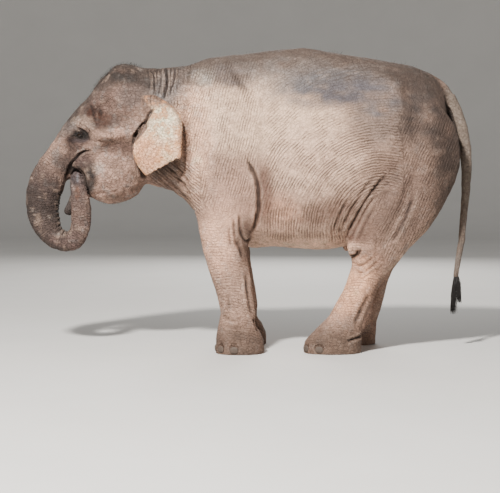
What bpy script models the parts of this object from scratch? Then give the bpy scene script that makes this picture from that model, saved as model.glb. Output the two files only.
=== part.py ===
"""A life-size Asian elephant cow, standing with her trunk curled back to her mouth.

Metres, +Z up. She faces -X, her left side faces -Y, and her soles stand on Z = 0.
The flesh is lofted limb by limb, fused into one skin, shaped with broad pushes,
and then parted by thin plane cuts into the pieces a person would name.
Run it with: blender --background --python part.py
"""

import math

import bmesh
import bpy
import numpy as np
from mathutils import Matrix, Vector
from mathutils.bvhtree import BVHTree

# ---------------------------------------------------------------- driving sizes
GAP = 0.0004  # space left between touching pieces
FUSE_VOXEL = 0.018  # grid that joins the lofted masses into one skin
BODY_FACES = 2420  # triangles left in the fused skin
MOUTH_ROOM = 0.013  # space round the trunk's tip where it enters the mouth
EYE_RADIUS = 0.022
EYE_DEPTH = 0.015  # how far an eye's centre lies under the skin of the lids
EYE_PLACE = (-1.315, 1.683)  # x and z of each eye
EAR_THICKNESS = 0.016
EAR_BULGE = 0.035  # how far the middle of an ear stands out from the head
EAR_STEPS = 5  # strips of faces from an ear's root to its rim
FORE_TRACK = 0.300  # a forefoot's distance from the middle plane
HIND_TRACK = 0.290
FLANK_FOLD_TRACK = 0.35
LEG_BEND_HEIGHT = 1.2  # above this a leg leans in under the body
FORE_LEAN = 0.09  # metres in for each metre up
HIND_LEAN = 0.11
FAR_FORE_SHIFT = 0.022  # how far the right legs stand behind the left ones
FAR_HIND_SHIFT = 0.160
SHIFT_HEIGHT = 1.3  # at this height the right legs are level with the left ones again
NAIL_SUNK = 0.35  # share of a nail's depth that is inside the foot
# Nails: foot, how many, degrees from straight ahead to the outermost, and half sizes.
NAILS = (
    ("forefoot", 5, 76, (0.024, 0.044, 0.050)),
    ("hindfoot", 4, 60, (0.024, 0.042, 0.048)),
)

# Where the fused body is parted: heights on the legs, and x along the body.
FOOT_TOP = 0.235
FOREARM_TOP = 0.70
SHANK_TOP = 0.66
UPPER_ARM_TOP = 1.08
THIGH_TOP = 1.10
LEG_INSIDE = 0.06  # distance from the middle plane where a leg's cuts begin
ARM_TILT = math.radians(12)  # the cuts over the upper arm and the thigh lean
THIGH_TILT = math.radians(-14)
HEAD_BACK = -0.800
NECK_BACK = -0.480
RUMP_FRONT = 0.98
TRUNK_STUMP = 0.30  # reach of the cut that clears away the stump of the trunk
FAR = 3.0  # past everything

# Station rows: (upper or front x, z), (lower or back x, z), half width, and how much
# wider the section is towards its first point.
TORSO = (
    (-0.63, 2.10, -0.60, 1.30, 0.22, -0.05),
    (-0.50, 2.215, -0.47, 1.12, 0.33, -0.08),
    (-0.30, 2.290, -0.29, 0.975, 0.405, -0.12),
    (-0.05, 2.315, -0.04, 0.800, 0.440, -0.16),
    (0.17, 2.345, 0.17, 0.805, 0.485, -0.18),
    (0.39, 2.358, 0.39, 0.790, 0.530, -0.18),
    (0.62, 2.332, 0.60, 0.780, 0.545, -0.16),
    (0.85, 2.297, 0.83, 0.830, 0.520, -0.10),
    (1.08, 2.258, 1.06, 0.910, 0.465, 0.00),
    (1.28, 2.218, 1.26, 1.010, 0.395, 0.05),
    (1.42, 2.150, 1.45, 1.150, 0.310, 0.05),
    (1.51, 2.030, 1.56, 1.340, 0.200, 0.00),
)
NECK = (
    (-0.30, 2.27, -0.28, 1.02, 0.390, -0.10),
    (-0.46, 2.235, -0.45, 1.125, 0.365, -0.08),
    (-0.60, 2.215, -0.59, 1.230, 0.325, -0.05),
    (-0.74, 2.205, -0.73, 1.282, 0.285, 0.00),
    (-0.88, 2.205, -0.86, 1.315, 0.255, 0.00),
    (-1.00, 2.140, -1.00, 1.400, 0.220, 0.00),
)
SKULL = (
    (-0.78, 2.175, -0.82, 1.50, 0.215, 0.00),
    (-0.91, 2.232, -0.94, 1.42, 0.262, -0.05),
    (-1.04, 2.222, -1.08, 1.42, 0.283, -0.10),
    (-1.16, 2.127, -1.17, 1.42, 0.277, -0.12),
    (-1.26, 2.008, -1.22, 1.42, 0.255, -0.10),
    (-1.355, 1.893, -1.28, 1.43, 0.226, -0.05),
    (-1.435, 1.800, -1.34, 1.45, 0.196, 0.00),
    (-1.50, 1.700, -1.40, 1.45, 0.168, 0.00),
)
JAW = (
    (-0.790, 1.52, -0.815, 1.340, 0.110, 0.00),
    (-0.855, 1.66, -0.875, 1.225, 0.200, 0.05),
    (-0.950, 1.70, -0.965, 1.165, 0.248, 0.05),
    (-1.055, 1.70, -1.065, 1.140, 0.268, 0.05),
    (-1.155, 1.67, -1.155, 1.145, 0.262, 0.05),
    (-1.235, 1.62, -1.235, 1.185, 0.230, 0.05),
    (-1.290, 1.55, -1.290, 1.262, 0.175, 0.00),
    (-1.325, 1.46, -1.320, 1.340, 0.095, 0.00),
)
LIP = (
    (-1.22, 1.330, -1.18, 1.195, 0.105, 0.00),
    (-1.31, 1.315, -1.27, 1.190, 0.078, 0.00),
    (-1.39, 1.275, -1.34, 1.170, 0.060, 0.00),
    (-1.438, 1.205, -1.380, 1.125, 0.052, 0.00),
    (-1.475, 1.125, -1.400, 1.075, 0.050, 0.00),
    (-1.484, 1.055, -1.410, 1.030, 0.036, 0.00),
)
MOUTH = (
    (-1.24, 1.50, -1.24, 1.30, 0.100, 0.00),
    (-1.32, 1.55, -1.31, 1.335, 0.095, 0.00),
    (-1.40, 1.56, -1.40, 1.322, 0.080, 0.00),
    (-1.47, 1.56, -1.47, 1.360, 0.065, 0.00),
)
MOUTH_SIDE = (0.02, 0.035, 0.045, 0.04)  # the far lip closes the mouth behind the trunk's tip
UPPER_LIP = (
    (-1.200, 1.560, -1.200, 1.330, 0.215, 0.00),
    (-1.247, 1.556, -1.247, 1.360, 0.205, 0.00),
    (-1.297, 1.545, -1.297, 1.402, 0.188, 0.00),
    (-1.347, 1.522, -1.347, 1.412, 0.164, 0.00),
    (-1.390, 1.495, -1.390, 1.420, 0.136, 0.00),
    (-1.425, 1.470, -1.425, 1.430, 0.100, 0.00),
)
FLANK_FOLD = (
    (0.84, 0.96, 0.90, 0.90, 0.045, 0.00),
    (0.770, 0.88, 0.860, 0.84, 0.054, 0.00),
    (0.728, 0.81, 0.820, 0.77, 0.048, 0.00),
    (0.735, 0.755, 0.795, 0.735, 0.030, 0.00),
)
LIP_SIDE = (0.02, 0.045, 0.058, 0.060, 0.060, 0.058)  # the lip hangs past the trunk's far side
TRUNK = (
    (-1.500, 1.705, -1.400, 1.450, 0.165, 0.00),
    (-1.562, 1.615, -1.437, 1.415, 0.150, 0.00),
    (-1.635, 1.520, -1.442, 1.338, 0.140, 0.00),
    (-1.700, 1.425, -1.463, 1.272, 0.134, 0.00),
    (-1.748, 1.315, -1.486, 1.212, 0.130, 0.00),
    (-1.768, 1.190, -1.503, 1.150, 0.126, 0.00),
    (-1.758, 1.060, -1.507, 1.070, 0.118, 0.00),
    (-1.715, 0.945, -1.500, 1.000, 0.108, 0.00),
    (-1.640, 0.850, -1.484, 0.950, 0.097, 0.00),
    (-1.545, 0.787, -1.460, 0.928, 0.089, 0.00),
    (-1.440, 0.766, -1.435, 0.925, 0.084, 0.00),
    (-1.338, 0.798, -1.414, 0.936, 0.080, 0.00),
    (-1.276, 0.889, -1.404, 0.976, 0.076, 0.00),
    (-1.248, 1.000, -1.402, 1.035, 0.070, 0.00),
    (-1.246, 1.110, -1.404, 1.110, 0.064, 0.00),
    (-1.264, 1.218, -1.406, 1.210, 0.058, 0.00),
    (-1.290, 1.308, -1.408, 1.294, 0.050, 0.00),
    (-1.322, 1.385, -1.404, 1.368, 0.036, 0.00),
)
TRUNK_STEPS = 2  # rings between two trunk stations
TRUNK_ROOT_ROW = 2  # the head ends and the free trunk starts at this station
TRUNK_LENGTHS = (
    ("trunk_upper", 2, 6), ("trunk_bend", 6, 9), ("trunk_return", 9, 13), ("trunk_tip", 13, 17),
)
TRUNK_SWAY = (0.0,) * 7 + (
    -0.005, -0.015, -0.030, -0.045, -0.057, -0.067, -0.075, -0.080, -0.083, -0.083, -0.080,
)
FORELEG = (
    (-0.40, 1.90, -0.10, 1.96, 0.080, 0.00),
    (-0.465, 1.70, 0.00, 1.74, 0.120, 0.00),
    (-0.490, 1.48, 0.065, 1.50, 0.150, 0.00),
    (-0.46, 1.22, 0.085, 1.22, 0.162, 0.00),
    (-0.408, 1.02, 0.056, 1.00, 0.158, 0.00),
    (-0.383, 0.88, -0.010, 0.87, 0.150, 0.00),
    (-0.356, 0.75, -0.014, 0.74, 0.144, 0.00),
    (-0.300, 0.57, 0.008, 0.56, 0.134, 0.00),
    (-0.252, 0.42, 0.030, 0.42, 0.128, 0.00),
    (-0.230, 0.31, 0.042, 0.31, 0.132, 0.00),
    (-0.252, 0.20, 0.058, 0.20, 0.150, 0.00),
    (-0.270, 0.10, 0.106, 0.10, 0.172, 0.00),
    (-0.274, 0.03, 0.114, 0.03, 0.180, 0.00),
    (-0.270, -0.05, 0.110, -0.05, 0.178, 0.00),
)
HINDLEG = (
    (0.95, 1.98, 1.34, 2.00, 0.080, 0.00),
    (0.84, 1.72, 1.578, 1.76, 0.140, 0.00),
    (0.80, 1.40, 1.618, 1.44, 0.180, 0.00),
    (0.765, 1.12, 1.496, 1.15, 0.178, 0.00),
    (0.752, 0.92, 1.365, 0.94, 0.162, 0.00),
    (0.765, 0.79, 1.235, 0.81, 0.147, 0.00),
    (0.788, 0.69, 1.138, 0.70, 0.134, 0.00),
    (0.758, 0.605, 1.058, 0.615, 0.125, 0.00),
    (0.725, 0.50, 1.000, 0.515, 0.120, 0.00),
    (0.671, 0.39, 0.955, 0.41, 0.121, 0.00),
    (0.606, 0.285, 0.908, 0.295, 0.130, 0.00),
    (0.530, 0.20, 0.870, 0.195, 0.144, 0.00),
    (0.445, 0.125, 0.864, 0.12, 0.158, 0.00),
    (0.410, 0.055, 0.864, 0.05, 0.165, 0.00),
    (0.418, -0.05, 0.856, -0.05, 0.163, 0.00),
)
TAIL = (
    (1.36, 2.190, 1.30, 1.99, 0.075, 0.00),
    (1.45, 2.150, 1.39, 1.985, 0.066, 0.00),
    (1.535, 2.093, 1.455, 1.965, 0.058, 0.00),
    (1.605, 2.005, 1.508, 1.925, 0.052, 0.00),
    (1.660, 1.895, 1.558, 1.850, 0.048, 0.00),
    (1.710, 1.745, 1.607, 1.730, 0.045, 0.00),
    (1.740, 1.580, 1.648, 1.575, 0.041, 0.00),
    (1.746, 1.430, 1.662, 1.430, 0.037, 0.00),
    (1.734, 1.250, 1.666, 1.250, 0.031, 0.00),
    (1.713, 1.050, 1.656, 1.050, 0.027, 0.00),
    (1.695, 0.850, 1.644, 0.850, 0.024, 0.00),
    (1.665, 0.690, 1.619, 0.695, 0.021, 0.00),
    (1.643, 0.560, 1.605, 0.563, 0.018, 0.00),
    (1.636, 0.500, 1.610, 0.500, 0.012, 0.00),
)
TAIL_LENGTHS = (("tail_upper", 3, 8), ("tail_lower", 8, 12))
TUFT = (
    (1.645, 0.555, 1.603, 0.555, 0.020, 0.00),
    (1.672, 0.480, 1.588, 0.480, 0.026, 0.00),
    (1.672, 0.400, 1.586, 0.400, 0.024, 0.00),
    (1.650, 0.320, 1.594, 0.320, 0.015, 0.00),
    (1.628, 0.250, 1.612, 0.250, 0.005, 0.00),
)
# The left ear's edges, root to rim, as (x, distance from the middle plane, z).
EAR_ROOT = (
    (-0.865, 0.235, 1.965),
    (-0.850, 0.255, 1.860),
    (-0.860, 0.270, 1.740),
    (-0.885, 0.275, 1.620),
    (-0.885, 0.265, 1.520),
    (-0.850, 0.235, 1.440),
)
EAR_RIM = (
    (-0.840, 0.275, 1.995),
    (-0.750, 0.330, 1.995),
    (-0.655, 0.365, 1.945),
    (-0.570, 0.395, 1.875),
    (-0.522, 0.430, 1.790),
    (-0.512, 0.455, 1.670),
    (-0.522, 0.460, 1.520),
    (-0.580, 0.445, 1.492),
    (-0.655, 0.420, 1.448),
    (-0.740, 0.385, 1.402),
    (-0.800, 0.345, 1.368),
    (-0.838, 0.280, 1.405),
)
# Broad pushes on the fused skin: place (mirrored left and right), radius, and the move.
PUSHES = (
    ("temple hollow", (-1.13, 0.28, 1.900), 0.15, (0.010, -0.040, 0.0)),
    ("brow ridge", (-1.30, 0.21, 1.800), 0.09, (-0.004, 0.016, 0.0)),
    ("cheek arch", (-1.10, 0.27, 1.700), 0.10, (0.0, 0.016, 0.0)),
    ("eye socket", (-1.315, 0.23, 1.680), 0.08, (0.0, -0.014, 0.0)),
    ("crown dome", (-1.01, 0.115, 2.180), 0.14, (-0.004, 0.010, 0.014)),
    ("neck side", (-0.68, 0.31, 1.700), 0.20, (0.0, -0.012, 0.0)),
    ("shoulder blade", (-0.14, 0.34, 2.020), 0.20, (0.0, 0.022, 0.006)),
    ("shoulder point", (-0.38, 0.40, 1.420), 0.22, (-0.008, 0.016, 0.0)),
    ("behind the shoulder", (0.16, 0.46, 1.620), 0.22, (0.0, -0.014, 0.0)),
    ("hip bone", (1.06, 0.34, 2.080), 0.16, (0.0, 0.028, 0.012)),
    ("loin hollow", (0.86, 0.44, 1.950), 0.20, (0.0, -0.018, 0.0)),
    ("behind the hip", (1.25, 0.31, 2.000), 0.16, (0.0, -0.016, 0.0)),
    ("thigh", (1.20, 0.43, 1.450), 0.30, (0.0, 0.012, 0.0)),
    ("heel string", (1.30, 0.29, 0.880), 0.14, (-0.004, -0.014, 0.0)),
)
MIDDLE_PUSHES = (
    ("crown dip", (-1.02, 0.0, 2.240), 0.09, (0.0, 0.0, -0.016)),
    ("forehead dip", (-1.27, 0.0, 2.010), 0.13, (0.012, 0.0, -0.012)),
    ("spine", (0.45, 0.0, 2.360), 0.18, (0.0, 0.0, 0.010)),
)
SKIN_COLOUR = (0.42, 0.33, 0.28)
EAR_COLOUR = (0.66, 0.50, 0.41)
NAIL_COLOUR = (0.55, 0.45, 0.36)
HAIR_COLOUR = (0.03, 0.028, 0.03)
EYE_COLOUR = (0.05, 0.028, 0.015)


# ------------------------------------------------------------------ scene tools
def clear_scene():
    for obj in list(bpy.data.objects):
        bpy.data.objects.remove(obj)


def collection(name):
    made = bpy.data.collections.new(name)
    bpy.context.scene.collection.children.link(made)
    return made


def material(name, colour, roughness):
    made = bpy.data.materials.new(name)
    made.use_nodes = True
    shader = made.node_tree.nodes["Principled BSDF"]
    shader.inputs["Base Color"].default_value = (*colour, 1.0)
    shader.inputs["Roughness"].default_value = roughness
    shader.inputs["Metallic"].default_value = 0.0
    return made


def add_object(name, bm, into, looks=None):
    mesh = bpy.data.meshes.new(name)
    bm.to_mesh(mesh)
    bm.free()
    obj = bpy.data.objects.new(name, mesh)
    into.objects.link(obj)
    if looks:
        mesh.materials.append(looks)
    return obj


def as_guide(obj):
    obj.hide_render = True
    obj.display_type = "WIRE"
    return obj


def evaluated_bmesh(obj):
    """The object's shape with its modifiers, closed and in world space."""
    bpy.context.view_layer.update()
    graph = bpy.context.evaluated_depsgraph_get()
    bm = bmesh.new()
    bm.from_object(obj, graph)
    bm.transform(obj.matrix_world)
    bmesh.ops.remove_doubles(bm, verts=bm.verts, dist=1e-6)
    return bm


# ------------------------------------------------------------------ lofted masses
def smooth_rows(rows, steps):
    """Catmull-Rom through the rows, with this many steps between two of them."""
    rows = np.asarray(rows, float)
    ends = np.vstack([2 * rows[0] - rows[1], rows, 2 * rows[-1] - rows[-2]])
    made = []
    for before, start, stop, after in zip(ends, ends[1:], ends[2:], ends[3:]):
        for t in np.arange(steps) / steps:
            made.append(0.5 * (
                2 * start + (stop - before) * t
                + (2 * before - 5 * start + 4 * stop - after) * t**2
                + (3 * start - before - 3 * stop + after) * t**3
            ))
    made.append(rows[-1])
    return made


def ring_points(row, side, segments, squareness, swell):
    """One closed section: its axis runs from the row's second point to its first."""
    x1, z1, x2, z2, half_width, lean = row
    centre = Vector(((x1 + x2) / 2, side, (z1 + z2) / 2))
    up = Vector(((x1 - x2) / 2, 0.0, (z1 - z2) / 2))
    up += up.normalized() * swell
    points = []
    for n in range(segments):
        angle = 2 * math.pi * n / segments
        across, along = math.cos(angle), math.sin(angle)
        across = math.copysign(abs(across) ** (2 / squareness), across)
        along = math.copysign(abs(along) ** (2 / squareness), along)
        width = (half_width + swell) * (1 + lean * along)
        points.append(centre + up * along + Vector((0.0, across * width, 0.0)))
    return points


def loft(name, rows, sides, into, segments=24, steps=3, squareness=2.1, swell=0.0, looks=None):
    """A closed tube through the stations: circles set to each section and bridged."""
    bm = bmesh.new()
    table = [(*row, side) for row, side in zip(rows, sides)]
    rings = []
    for *row, side in smooth_rows(table, steps):
        circle = bmesh.ops.create_circle(bm, segments=segments, radius=1.0)["verts"]
        for vert, point in zip(circle, ring_points(row, side, segments, squareness, swell)):
            vert.co = point
        rings.append(circle)
    for first, second in zip(rings, rings[1:]):
        loops = [e for e in bm.edges if e.verts[0] in first and e.verts[1] in first]
        loops += [e for e in bm.edges if e.verts[0] in second and e.verts[1] in second]
        bmesh.ops.bridge_loops(bm, edges=loops)
    bmesh.ops.contextual_create(bm, geom=rings[0])
    bmesh.ops.contextual_create(bm, geom=rings[-1])
    bmesh.ops.recalc_face_normals(bm, faces=bm.faces)
    return add_object(name, bm, into, looks)


def leg_sides(rows, sign, track, lean):
    """How far a leg's sections stand from the middle plane: upright, then leaning in at the top."""
    return [sign * (track - lean * max(0.0, row[1] - LEG_BEND_HEIGHT)) for row in rows]


def on_middle(rows):
    return [0.0] * len(rows)


def shifted(rows, shift):
    """The rows moved back by shift at the foot, and less the nearer they are to SHIFT_HEIGHT."""
    moved = []
    for x1, z1, x2, z2, *rest in rows:
        share = min(1.0, max(0.0, 1 - (z1 + z2) / 2 / SHIFT_HEIGHT) * 1.25)
        moved.append((x1 + shift * share, z1, x2 + shift * share, z2, *rest))
    return moved


def fused_flesh(guides):
    """Every mass joined by a voxel remesh, smoothed, shaped and cut level at the soles."""
    masses = [
        loft("mass_torso", TORSO, on_middle(TORSO), guides, 40),
        loft("mass_neck", NECK, on_middle(NECK), guides, 32),
        loft("mass_skull", SKULL, on_middle(SKULL), guides, 32, squareness=2.25),
        loft("mass_jaw", JAW, on_middle(JAW), guides, 32, squareness=2.3),
        loft("mass_lip", LIP, LIP_SIDE, guides, 16),
        loft("mass_mouth", MOUTH, MOUTH_SIDE, guides, 16),
        loft("mass_upper_lip", UPPER_LIP, on_middle(UPPER_LIP), guides, 20),
        loft("mass_trunk_root", TRUNK[:5], TRUNK_SWAY, guides, 28),
        loft("mass_tail_root", TAIL[:5], on_middle(TAIL), guides, 16),
    ]
    for sign in (-1, 1):
        fore = FORELEG if sign < 0 else shifted(FORELEG, FAR_FORE_SHIFT)
        hind = HINDLEG if sign < 0 else shifted(HINDLEG, FAR_HIND_SHIFT)
        fore_sides = leg_sides(fore, sign, FORE_TRACK, FORE_LEAN)
        hind_sides = leg_sides(hind, sign, HIND_TRACK, HIND_LEAN)
        fold_sides = [sign * FLANK_FOLD_TRACK] * len(FLANK_FOLD)
        masses.append(loft("mass_foreleg", fore, fore_sides, guides, 28))
        masses.append(loft("mass_hindleg", hind, hind_sides, guides, 28))
        masses.append(loft("mass_flank_fold", FLANK_FOLD, fold_sides, guides, 14))
    joined = bmesh.new()
    for mass in masses:
        joined.from_mesh(mass.data)
        bpy.data.objects.remove(mass)
    body = as_guide(add_object("body_whole", joined, guides))
    remesh = body.modifiers.new("join", "REMESH")
    remesh.mode = "VOXEL"
    remesh.voxel_size = FUSE_VOXEL
    smooth = body.modifiers.new("soften", "SMOOTH")
    smooth.factor = 0.5
    smooth.iterations = 16
    shaped = evaluated_bmesh(body)
    for _, place, radius, move in PUSHES:
        for sign in (-1, 1):
            push(shaped, mirrored(place, sign), radius, mirrored(move, sign))
    for _, place, radius, move in MIDDLE_PUSHES:
        push(shaped, place, radius, move)
    shaped.to_mesh(body.data)
    shaped.free()
    body.modifiers.clear()
    thin = body.modifiers.new("fewer faces", "DECIMATE")
    thin.ratio = BODY_FACES / (2 * len(body.data.polygons))
    return body


def mirrored(place, sign):
    return Vector((place[0], place[1] * sign, place[2]))


def push(bm, place, radius, move):
    """Moves the surface near a place, most at its middle."""
    for vert in bm.verts:
        share = (vert.co - Vector(place)).length / radius
        if share < 1:
            vert.co += Vector(move) * (1 - share**2) ** 2


# ------------------------------------------------------------------ parting the body
def box_cutter(name, low, high, guides, tilt=0.0, pivot=(0.0, 0.0, 0.0), grow=0.0):
    """A box from low to high, turned about +Y through the pivot, and grown on every side."""
    bm = bmesh.new()
    size = [h - l + 2 * grow for l, h in zip(low, high)]
    centre = Vector([(l + h) / 2 for l, h in zip(low, high)])
    bmesh.ops.create_cube(bm, size=1.0)
    bm.transform(Matrix.Translation(centre) @ Matrix.Diagonal((*size, 1.0)))
    turn = Matrix.Translation(pivot) @ Matrix.Rotation(tilt, 4, "Y") @ Matrix.Translation(-Vector(pivot))
    bm.transform(turn)
    return as_guide(add_object(name, bm, guides))


def boolean(obj, other, operation):
    """The object's mesh replaced by the exact result of one Boolean."""
    step = obj.modifiers.new(operation.lower(), "BOOLEAN")
    step.operation = operation
    step.object = other
    step.solver = "EXACT"
    bm = evaluated_bmesh(obj)
    obj.modifiers.clear()
    bmesh.ops.dissolve_degenerate(bm, edges=bm.edges, dist=1e-5)
    bm.to_mesh(obj.data)
    bm.free()
    return obj


def copy_of(obj, name, into):
    return add_object(name, evaluated_bmesh(obj), into)


def largest_island(obj):
    """Drops crumbs that a cut left beside the main piece."""
    bm = evaluated_bmesh(obj)
    unseen = set(bm.verts)
    islands = []
    while unseen:
        island, edge = set(), [unseen.pop()]
        while edge:
            vert = edge.pop()
            island.add(vert)
            near = {e.other_vert(vert) for e in vert.link_edges} & unseen
            unseen -= near
            edge.extend(near)
        islands.append(island)
    islands.sort(key=len)
    for crumb in islands[:-1]:
        bmesh.ops.delete(bm, geom=list(crumb), context="VERTS")
    bm.to_mesh(obj.data)
    bm.free()
    return obj


def beyond(row, reach):
    """The box past a station of the trunk, with that section as its lid."""
    x1, z1, x2, z2 = row[:4]
    middle = Vector(((x1 + x2) / 2, 0.0, (z1 + z2) / 2))
    turn = math.atan2(z1 - z2, x2 - x1)
    if turn > math.pi / 2:
        turn -= math.pi
    low = (middle.x - reach, -reach, middle.z - 0.5)
    high = (middle.x + reach, reach, middle.z)
    return low, high, turn, middle


def part_body(body, parts, guides):
    """Takes each cell out of the body in turn; what is left at the end is the barrel.

    The cell with no name only clears away the stump of the trunk.
    """
    origin = (0.0, 0.0, 0.0)
    cells = [(None, *beyond(TRUNK[TRUNK_ROOT_ROW], TRUNK_STUMP))]
    for name, sign in (("left", -1), ("right", 1)):
        low, high = sorted((sign * LEG_INSIDE, sign * FAR))
        cells += [
            (f"forefoot_{name}", (-0.5, low, -FAR), (0.3, high, FOOT_TOP), 0.0, origin),
            (f"forearm_{name}", (-0.7, low, -FAR), (0.25, high, FOREARM_TOP), 0.0, origin),
            (f"upper_arm_{name}", (-0.70, low, 0.3), (0.093, high, UPPER_ARM_TOP), ARM_TILT,
             (-0.2, 0.0, UPPER_ARM_TOP)),
            (f"hindfoot_{name}", (0.3, low, -FAR), (FAR, high, FOOT_TOP), 0.0, origin),
            (f"shank_{name}", (0.3, low, -FAR), (FAR, high, SHANK_TOP), 0.0, origin),
            (f"thigh_{name}", (0.69, low, 0.3), (2.0, high, THIGH_TOP), THIGH_TILT,
             (1.1, 0.0, THIGH_TOP)),
        ]
    cells += [
        ("head", (-FAR, -FAR, -FAR), (HEAD_BACK, FAR, FAR), 0.0, origin),
        ("neck", (-FAR, -FAR, -FAR), (NECK_BACK, FAR, FAR), 0.0, origin),
        ("rump", (RUMP_FRONT, -FAR, -FAR), (FAR, FAR, FAR), 0.0, origin),
    ]
    made = {}
    for name, low, high, tilt, pivot in cells:
        inner = box_cutter("cell_in", low, high, guides, tilt, pivot, -GAP / 2)
        outer = box_cutter("cell_out", low, high, guides, tilt, pivot, GAP / 2)
        if name:
            made[name] = largest_island(boolean(copy_of(body, name, parts), inner, "INTERSECT"))
        boolean(body, outer, "DIFFERENCE")
        bpy.data.objects.remove(inner)
        bpy.data.objects.remove(outer)
    made["barrel"] = largest_island(copy_of(body, "barrel", parts))
    return made


# ------------------------------------------------------------------ small pieces
def swollen(obj, amount, guides):
    """A copy grown along its normals, for cutting room round a piece."""
    bm = evaluated_bmesh(obj)
    bm.normal_update()
    moves = [(v, v.normal * amount) for v in bm.verts]
    for vert, move in moves:
        vert.co += move
    return as_guide(add_object(obj.name + "_room", bm, guides))


def add_ear(name, sign, parts):
    """A thin sheet between the ear's root line and its rim, given a thickness."""
    rim = smooth_rows(EAR_RIM, 1)
    root = smooth_rows(EAR_ROOT, 3)
    share = np.linspace(0, 1, len(rim))
    root_share = np.linspace(0, 1, len(root))
    root = np.stack([np.interp(share, root_share, column) for column in np.array(root).T], 1)
    bm = bmesh.new()
    rows = []
    for start, stop in zip(root, rim):
        line = []
        for s in np.linspace(0, 1, EAR_STEPS + 1):
            x, y, z = start + (stop - start) * s
            y += EAR_BULGE * math.sin(math.pi * s)
            line.append(bm.verts.new((x, y * sign, z)))
        rows.append(line)
    for first, second in zip(rows, rows[1:]):
        for n in range(EAR_STEPS):
            bm.faces.new((first[n], first[n + 1], second[n + 1], second[n]))
    bmesh.ops.recalc_face_normals(bm, faces=bm.faces)
    ear = add_object(name, bm, parts)
    shell = ear.modifiers.new("thickness", "SOLIDIFY")
    shell.thickness = EAR_THICKNESS
    shell.offset = 0.0
    solid = evaluated_bmesh(ear)
    ear.modifiers.clear()
    bmesh.ops.recalc_face_normals(solid, faces=solid.faces)
    solid.to_mesh(ear.data)
    solid.free()
    return ear


def side_point(tree, x, z, sign):
    """Where a level line from outside first meets the skin."""
    hit, normal, _, _ = tree.ray_cast(Vector((x, sign * 2.0, z)), Vector((0, -sign, 0)))
    return hit, normal


def add_eye(name, place, parts, looks):
    bm = bmesh.new()
    bmesh.ops.create_uvsphere(bm, u_segments=10, v_segments=7, radius=EYE_RADIUS)
    bm.transform(Matrix.Translation(place))
    return add_object(name, bm, parts, looks)


def add_nail(name, foot_row, side, angle, size, parts, looks):
    """A flattened oval half sunk in the foot, facing out at this angle from straight ahead."""
    x1, _, x2, _, half_width, _ = foot_row
    out = Vector((-math.cos(angle), math.sin(angle), 0.0))
    reach = Vector(((x2 - x1) / 2 * out.x, half_width * out.y, 0.0))
    normal = Vector((out.x / (x2 - x1) * 2, out.y / half_width, 0.0)).normalized()
    place = Vector(((x1 + x2) / 2, side, size[2])) + reach - normal * size[0] * NAIL_SUNK
    bm = bmesh.new()
    bmesh.ops.create_uvsphere(bm, u_segments=8, v_segments=4, radius=1.0)
    turn = Matrix.Rotation(math.atan2(normal.y, normal.x), 4, "Z")
    bm.transform(Matrix.Translation(place) @ turn @ Matrix.Diagonal((*size, 1.0)))
    return add_object(name, bm, parts, looks)


def add_nails(parts, looks):
    """The toenails round the front of each foot, with the foot each one sits in."""
    made = []
    stands = {
        "forefoot": (FORELEG, FORE_TRACK, FAR_FORE_SHIFT),
        "hindfoot": (HINDLEG, HIND_TRACK, FAR_HIND_SHIFT),
    }
    for side_name, sign in (("left", -1), ("right", 1)):
        for foot, count, spread, size in NAILS:
            leg, track, far_shift = stands[foot]
            sole_row = shifted(leg, far_shift if sign > 0 else 0.0)[-2]
            for n in range(count):
                angle = math.radians(spread * (2 * n / (count - 1) - 1))
                name = f"nail_{foot}_{side_name}_{n + 1}"
                nail = add_nail(name, sole_row, sign * track, angle, size, parts, looks)
                made.append((nail, f"{foot}_{side_name}"))
    return made


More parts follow.
